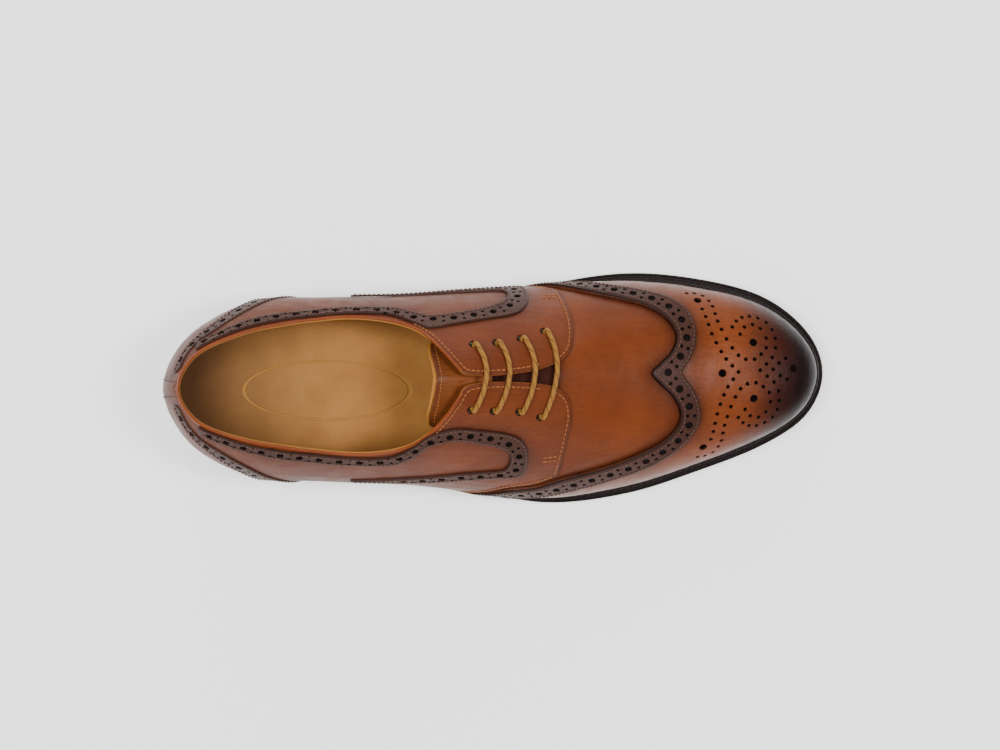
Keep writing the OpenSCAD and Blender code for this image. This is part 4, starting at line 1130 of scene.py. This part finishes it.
corners = WALL[-1].to_flat(np.array([(-.3, -.45), (-.3, -.94), (.3, -.94), (.3, -.45)]))
backstay_loop = join(*[even(np.stack([corners[i], corners[(i + 1) % 4]]), 1.1) for i in range(4)])
cut("backstay", WALL[-1], backstay_loop, quarter_leather, BACKSTAY_H, BACKSTAY_LOW, (), 1.6, .3,
    seam=.8)
for u in (-.24, .24):
    line = flat_point(WALL[-1], *[(u, v) for v in (-.47, -.6, -.75, -.92)])
    rows_dark.append((WALL[-1], even(line, .8), BACKSTAY_H))

# Rolled binding over the collar's edge: outside of the quarter, over the top and down to the lining
BINDING_END = 6.03
STRETCH = 40        # evens out the two coordinates for the spline
collar_uv = np.array([(u, t - 1) for u, t in TOP[-1] + [(BINDING_END, .954)]][::-1]
                     + [(u, 1 - t) for u, t in (TOP[1] + [(BINDING_END, .98)])[1:]])
ring_a = np.where(collar_uv[:, 1] < 0, collar_uv[:, 0], -collar_uv[:, 0])
fine = spline(np.stack([ring_a, (1 - np.abs(collar_uv[:, 1])) * STRETCH], -1), .04)
fine_line = skin(fine[:, 0] % STATIONS, fine[:, 1] / STRETCH)
far = lengths(fine_line)
want = np.linspace(0, 1, len(even(fine_line, 1.2)))
collar_a = np.interp(want, far / far[-1], fine[:, 0]) % STATIONS
collar_t = np.interp(want, far / far[-1], fine[:, 1] / STRETCH)
collar = skin(collar_a, collar_t)
out = normal(collar_a, collar_t)
rise = unit(np.cross(out, np.gradient(collar, axis=0)))
higher = skin(collar_a, np.minimum(collar_t + .03, .99)) - collar
rise *= np.sign((rise * higher).sum(-1))[:, None]
BINDING = np.array([(.02, -.75), (.1, -.6), (.12, -.25), (.08, 0), (-.06, .2), (-.34, .28),
                    (-.62, .22), (-.8, 0), (-.86, -.3), (-.86, -2.2), (-.8, -2.4), (-.1, -2.2)])
BINDING_MIDDLE = np.array([-.5, -1])
from_back = np.minimum(collar_a, STATIONS - collar_a)
taper = np.clip((BINDING_END - from_back) / .25, 0, 1)
profile = np.broadcast_to(BINDING, (len(collar), len(BINDING), 2)).copy()
outer_foot = (profile[..., 0] > -.2) & (profile[..., 1] < -1)
profile[..., 1] -= np.clip(1.6 - from_back, 0, 1)[:, None] * 1.6 * outer_foot
profile = (profile - BINDING_MIDDLE) * (.2 + .8 * taper)[:, None, None] + BINDING_MIDDLE
sweep("collar_binding", collar, profile, (out, rise), binding_leather)

# ---- Linings, sock and tongue
for side in (-1, 1):
    foot = FACING[side][-1]
    loop = join(*[wall_run(side, pts) for pts in (
        [(u, t + (.002 if u < 5.5 else -.012)) for u, t in UPPER_EDGE[side]],
        [(foot[0], foot[1] - .012), (6.95, .6), (6.8, .3), (6.6, .02)],
        [(6.6, .02), (3, .005), (0, .0)], [(0, 0), (0, .3), (0, TOP[side][0][1] + .002)])])
    rim_line = wall_run(side, TOP[side])
    soft = wrinkle(0, 26, 14, .12, 51 + side)

    def meets_binding(flat, depth, rim_line=rim_line, soft=soft):
        """Comes out to the binding along the collar, and hangs deeper below it."""
        gap = np.linalg.norm(flat[:, None] - rim_line[None, ::3], axis=-1).min(1)
        f = np.clip((8 - gap) / 6, 0, 1)
        return 2.1 * f * f * (3 - 2 * f) + soft(flat, depth)
    cut("quarter_lining_" + SIDE_NAME[side], WALL[side], loop, lining_leather, LINING_H,
        LINING_H - LINING_T, eyelet_holes(side, INNER_HOLE), 2, .25, meets_binding, seam=5,
        node="quarter_lining")

for side in (-1, 1):
    upper = [(u, t - .03) for u, t in UPPER_EDGE[side] if u > 4.2]
    stay_loop = join(*[wall_run(side, pts) for pts in (
        upper, [upper[-1], (7, .7), (6.9, .55)], [(6.9, .55), (6, .5), (5, .45), (4.2, .45)],
        [(4.2, .45), upper[0]])])
    cut("facing_stay_" + SIDE_NAME[side], WALL[side], stay_loop, stay_canvas, STAY_H, STAY_LOW,
        eyelet_holes(side, INNER_HOLE), 3, .1)

tongue_end = run_of(CROWN, TONGUE_END)
lining_loop = join(run_of(CROWN, TONGUE_SIDE[-1]), tongue_end, run_of(CROWN, TONGUE_SIDE[1]),
                   run_of(CROWN, TONGUE_BASE))
# The leather stops short of its lining all round the free end
pull = unit(lining_loop - flat_point(CROWN, 6.3, 0))
rear_part = np.clip((flat_point(CROWN, 6, 0)[0] - lining_loop[:, 0]) / 8, 0, 1)
tongue_loop = lining_loop - pull * (1.5 * rear_part)[:, None]
cut("tongue", CROWN, tongue_loop, tongue_leather, TONGUE_H, TONGUE_H - TONGUE_T, (), 1.5, .35,
    wrinkle(85, 20, 9, .2, 61), TONGUE, 2.5)
cut("tongue_lining", CROWN, lining_loop, lining_leather, TONGUE_H - 1.2, TONGUE_H - 2, (), 2, .3,
    body=TONGUE, seam=2)

# The tongue's root: it rises from the tongue to run in under the vamp
# Its dark leather is painted shade in the gap between the facings.
root_loop = join(*[run_of(CROWN, pts) for pts in (
    [(6.32, -.085), (6.8, -.1), (7.13, -.12)], [(7.13, -.12), (7.13, .12)],
    [(7.13, .12), (6.8, .1), (6.32, .085)], [(6.32, .085), (6.32, -.085)])])
root_rear, root_front = (flat_point(CROWN, u, 0)[0] for u in (6.32, 7.1))


def root_relief(flat, depth):
    f = np.clip((root_front - flat[:, 0]) / (root_front - root_rear), 0, 1)
    return -(4.9 * f * f * (3 - 2 * f))


cut("tongue_root", CROWN, root_loop, root_leather_shaded, ROOT_H, ROOT_H - ROOT_T, (), 1.2, .3,
    root_relief, TONGUE, 2.2, slot="tongue_leather")


def sole_height(x):
    return along(SOLE_Z, x - CENTRE[0])


def rim(share, outwards, count=260, first=0., last=float(STATIONS), closed=True):
    """The feather line moved out by a share of the sole's margin and a distance, and normals."""
    a = np.linspace(first, last, count, endpoint=not closed)
    s = station(a % STATIONS)
    d = station((a + .04) % STATIONS) - station((a - .04) % STATIONS)
    n = unit(np.stack([d[:, 1], -d[:, 0]], -1))
    return s[:, :2] + n * (share * s[:, 6] + outwards)[:, None] + CENTRE[:2], n


SOCK = Plan(lambda x: sole_height(x) + FEATHER)
SOLE = Plan(sole_height)
SOCK_H, SOCK_LOW = 3.8, 2.62
cut("sock_liner", SOCK, closed_loop(rim(0, 0)[0], 1.6), sock_leather, SOCK_H, SOCK_LOW, (), 2, .3,
    wrinkle(0, 40, 18, .1, 71), seam=6, slot="lining_leather")

# ---- Lace and aglets
LACE_R = 1.12
LINING_IN = -3.8            # the lining's inner face
RUN_H = LINING_IN - .35 - .35 - 1.25 - .15      # the lace's middle, under lining and eyelet


def put(uv, h):
    return at(np.array(uv, float), np.array(h, float))


def mixed(p, q, f, add=0.):
    return (p[0] + (q[0] - p[0]) * f + add, p[1] + (q[1] - p[1]) * f)


# A bar of the lace over the facings: share of the way across, sag towards the toe, height
BAR = [(0, .012, .35), (.08, .045, 1.4), (.25, .112, 1.7), (.5, .15, 1.5), (.75, .112, 1.7),
       (.92, .045, 1.4)]


def bar(p, q):
    """Up through one eyelet, over to the other and down."""
    over = [put(mixed(p, q, f, sag), h) for f, sag, h in BAR] + [put(mixed(q, p, 0, .012), .35)]
    deep = LINING_IN - 1.2
    return [put(p, deep), put(p, -1.5)] + over + [put(q, -1.5), put(q, deep)]


def under_run(p, q):
    """Between two eyelets under the facings."""
    return [put(mixed(p, q, f), RUN_H - down) for f, down in ((.18, 0), (.5, .1), (.82, 0))]


TAIL_FRONT = [(6.6, -.335), (6.72, -.33), (6.83, -.31), (6.87, -.27)]
TAIL_REAR = [(6.0, -.25), (6.03, -.32), (6.1, -.385), (6.25, -.415), (6.45, -.42)]
ROUTE = [put(p, RUN_H) for p in TAIL_FRONT]
for i, side in enumerate((-1, 1, -1, 1)):
    near, far = EYELETS[side], EYELETS[-side]
    ROUTE += bar(near[i], far[i]) + (under_run(far[i], far[i + 1]) if i < 3 else [])
ROUTE += [put(p, RUN_H) for p in TAIL_REAR]


def frames_along(path):
    """Two directions across a path that don't spin round it."""
    d = unit(np.gradient(path, axis=0))
    ups = np.empty_like(path)
    up = np.array([.3, .2, 1.])
    for i, way in enumerate(d):
        up = up - way * (up @ way)
        up /= np.linalg.norm(up)
        ups[i] = up
    return ups, np.cross(d, ups)


lace_path = spline(ROUTE, .27)
LACE_SIDES = 32
STRANDS = 6
LAY = 5.2           # mm of lace in one turn of its strands
angle = np.linspace(0, 2 * math.pi, LACE_SIDES, endpoint=False)
ring = circle((0, 0), 1, LACE_SIDES)
twist = 2 * math.pi / LAY * lengths(lace_path)[:, None] * STRANDS / 2
one = np.sin(STRANDS * angle[None] + twist)
braid = np.maximum(one, np.sin(STRANDS * angle[None] - twist))
radius = LACE_R - .07 + .08 * braid
lace = sweep("lace", lace_path, radius[..., None] * ring[None], frames_along(lace_path),
             lace_cotton)
# strand: painted shade, darker in the braid's hollows
mark(lace, "strand", np.clip(braid.ravel() * .7 + .45, 0, 1))
turns = np.round((STRANDS * angle[None] + twist) / (2 * math.pi))
mark(lace, "fleck", ((one > .35) & (np.mod(turns, 3) < 1)).astype(float).ravel())

AGLET_R = 1.45
for name, places in (("aglet_front", [(6.58, -.335), (6.26, -.33)]),
                     ("aglet_rear", [(6.47, -.42), (6.8, -.42)])):
    path = even(np.array([put(p, RUN_H) for p in places]), .5)
    f = np.linspace(0, 1, len(path))
    r = AGLET_R * np.clip(np.minimum(f, 1 - f) * 30, .82, 1) ** .5
    sweep(name, path, r[:, None, None] * ring[None], frames_along(path), aglet_plastic,
          node="aglets")

# ---- Welt, sole and heel
BREAST_X = -81.5
WELT_T = 2.98
LAYER_GAP = .05     # between the outsole or the top piece and what lies on it
SOLE_EDGE = dict(both_edges=True, sharp=SHARP_SOLE)
WELT_PROFILE = np.array([(-4, .05), (-.55, .05), (-.2, .35), (-.12, 1.2), (-.12, 2.1), (-.3, 2.6),
                         (-.62, 2.85), (-.95, 2.8), (-1.15, 2.45), (-1.4, 2.45), (-1.6, 2.82),
                         (-2.3, WELT_T), (-4, WELT_T)])
cut("outsole", SOLE, closed_loop(rim(1, 0)[0], 1.6), sole_leather, OUTSOLE - LAYER_GAP, 0, (), 4,
    .9, seam=3, **SOLE_EDGE)
a_all = np.linspace(0, STATIONS, 2400, endpoint=False)
from_breast = np.abs(station(a_all)[:, 0] - BREAST_X)
breast_a = a_all[np.argmin(from_breast[:1200])]
breast_b = a_all[1200 + np.argmin(from_breast[1200:])]

# Welt and rand: a groove near the outer edge, and a rounded lip
for name, first, last, count in (("welt", breast_a + .01, breast_b - .01, 420),
                                 ("heel_rand", breast_b - STATIONS + .01, breast_a - .01, 150)):
    line, n = rim(1, 0, count, first, last, False)
    width = np.clip(station(np.linspace(first, last, count) % STATIONS)[:, 6] / 5, .35, 1.1)
    profile = np.broadcast_to(WELT_PROFILE, (count, *WELT_PROFILE.shape)).copy()
    near = profile[..., 0] > -3.9
    profile[..., 0] = np.where(near, profile[..., 0] * width[:, None], -4)
    verts = np.zeros((count, len(WELT_PROFILE), 3))
    verts[..., :2] = line[:, None] + profile[..., 0:1] * n[:, None]
    verts[..., 2] = sole_height(verts[..., 0]) + OUTSOLE + profile[..., 1]
    make(name, verts.reshape(-1, 3), loft(count, len(WELT_PROFILE)), welt_leather, sharp=SHARP_WELT)
WELT_ROW = 1200
welt_row, welt_n = rim(1, 0, WELT_ROW, breast_a + .05, breast_b - .05, False)
welt_margin = station(np.linspace(breast_a + .05, breast_b - .05, WELT_ROW) % STATIONS)[:, 6]
welt_row = welt_row - welt_n * np.clip(welt_margin * .58, 1.2, 2.9)[:, None]
rows_welt = [(SOLE, even(welt_row[welt_margin > 3.2], 1), OUTSOLE + WELT_T)]

HEEL_MIDDLE_X = -115
BREAST_R = 70       # the hollow breast's radius
TOP_PIECE, LIFT_JOINT, HEEL_TOP = 6, 9.25, 12.5


def heel_loop(inset):
    """The heel's outline: round the seat, and a hollow breast."""
    line, _ = rim(1, -inset, 600)
    line = line[line[:, 0] < BREAST_X - inset * .3]
    line = line[np.argsort(np.arctan2(line[:, 1], line[:, 0] - HEEL_MIDDLE_X))]
    start = np.argmax(np.linalg.norm(np.diff(np.vstack([line, line[:1]]), axis=0), axis=1)) + 1
    line = np.roll(line, -start, axis=0)
    ys = np.linspace(line[-1, 1], line[0, 1], 30)[1:-1]
    xs = BREAST_X + BREAST_R - 3 - np.sqrt(BREAST_R ** 2 - ys ** 2)
    return closed_loop(np.vstack([line, np.stack([np.minimum(xs, BREAST_X - .2), ys], -1)]), 1.3)


class Lift(Plan):
    """Between the flat heel block and the curved seat: share 0 is flat, share 1 is the seat."""
    def __init__(self, low, high):
        self.shares = high, low

    def both(self, xy, h1, h0):
        seat = sole_height(xy[..., 0])
        return [np.concatenate([xy, (HEEL_TOP + (seat - HEEL_TOP) * share + h)[..., None]], -1)
                for share, h in zip(self.shares, (h1, h0))]


flat_floor = Plan(lambda x: np.zeros_like(x))
NAIL_R = 1.1
NAILS = [(-141, 0), (-134, 15), (-134, -15), (-116, 23), (-116, -23), (-97, 22), (-97, -23)]
nail_holes = [(x, y, NAIL_R) for x, y in NAILS]
LIFT_GAP = .03
cut("heel_top_piece", flat_floor, heel_loop(.9), heel_rubber, TOP_PIECE - LAYER_GAP, 0,
    nail_holes, 4, .5, **SOLE_EDGE)
for i, (z0, z1) in enumerate(((TOP_PIECE, LIFT_JOINT), (LIFT_JOINT, HEEL_TOP))):
    cut(f"heel_lift_lower_{i + 1}", flat_floor, heel_loop(.6), heel_leather, z1 - LIFT_GAP,
        z0 + LIFT_GAP, nail_holes, 5, .3, node="heel_lift_lower", **SOLE_EDGE)
for i, (f0, f1) in enumerate(((0, .5), (.5, 1))):
    cut(f"heel_lift_upper_{i + 1}", Lift(f0, f1), heel_loop(.4), heel_leather, -LIFT_GAP, LIFT_GAP,
        (), 5, .3, node="heel_lift_upper", **SOLE_EDGE)

# ---- Stitching, and the cord along the wing's rear edge
rows_wing = [(CROWN, span(inset(rear_edge, 1.5, band_loop), 2, -2), BAND_H),
             (CROWN, span(inset(front_edge, 1., band_loop), 2, -2), BAND_H)]
sew("stitches_band", rows_dark + rows_wing, thread_brown, "band_leather")
# The cord's near-black colour is partly gimp leather and partly painted shadow along the band's
# rear edge.
CORD_R, CORD_STEP, CORD_PINCH = .34, .4, 1.5
line = even(span(inset(rear_edge, .1, band_loop), 1, -1), CORD_STEP)
path = CROWN.place(line, BAND_H - .35 + np.zeros(len(line)))
up = CROWN.up(line)
side = unit(np.cross(np.gradient(path, axis=0), up))
swell = CORD_R * (1 + .16 * np.sin(CORD_STEP * np.arange(len(line)) * 2 * math.pi / CORD_PINCH))
sweep("wing_bead", path, circle((0, 0), 1, 8)[None] * swell[:, None, None], (side, up),
      bead_leather, slot="band_leather")
sew("stitches_tan", rows_tan, thread_tan, "quarter_leather", pitch=2.3, long=1.75, r=.3)
sew("stitches_welt", rows_welt, thread_dark, "welt_leather", pitch=3.2, long=2.3, r=.38)
sew("stitches_tongue", [(CROWN, span(inset(tongue_end, 3.6, tongue_loop), 3, -3), TONGUE_H)],
    thread_tan, "tongue_leather", TONGUE)

# ---- CAD nodes that stay as they are
for name, look in (("heel_nails", nail_brass), ("shank", shank_steel), ("cork_filler", cork),
                   ("insole_board", insole_leather), ("heel_stiffener", stiffener_board),
                   ("toe_puff", puff_board), ("eyelets_lateral", eyelet_metal),
                   ("eyelets_medial", eyelet_metal), ("vamp_lining", lining_leather)):
    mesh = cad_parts[name].data
    mesh.materials.clear()
    mesh.materials.append(look)

# ---- Floor and light
def area(name, place, size, power, aim=(0, 0, 0)):
    light = bpy.data.lights.new(name, "AREA")
    light.shape = "RECTANGLE"
    light.size, light.size_y = size
    light.energy = power
    obj = bpy.data.objects.new(name, light)
    obj.location = place
    obj.rotation_euler = (Vector(aim) - Vector(place)).to_track_quat("-Z", "Y").to_euler()
    bpy.context.scene.collection.objects.link(obj)


area("top", (-.34, 0, 1.3), (.5, .5), 15)
area("front", (.5, .02, 1.2), (.2, .35), 12)
area("key", (-.05, .95, .42), (1.1, .4), 5.5)
area("fill", (.05, -.95, .42), (1.1, .4), 4)
area("back", (-.95, 0, .5), (.5, .4), 1.5)
world = bpy.data.worlds.new("studio")
world.use_nodes = True
sky = world.node_tree.nodes["Background"].inputs
sky["Color"].default_value = (1, 1, 1, 1)
sky["Strength"].default_value = .2
bpy.context.scene.world = world
FLOOR_R = 3
floor_mesh = bpy.data.meshes.new("floor")
floor_mesh.from_pydata([(x * FLOOR_R, y * FLOOR_R, 0)
                        for x, y in ((-1, -1), (1, -1), (1, 1), (-1, 1))], [], [(0, 1, 2, 3)])
floor = bpy.data.objects.new("floor", floor_mesh)
bpy.context.scene.collection.objects.link(floor)
floor_look = Look("floor", .9)
floor_look.colour((.96, .96, .96))
floor_look.shader.inputs["Emission Color"].default_value = (1, 1, 1, 1)
floor_look.shader.inputs["Emission Strength"].default_value = .6
floor_mesh.materials.append(floor_look.done())
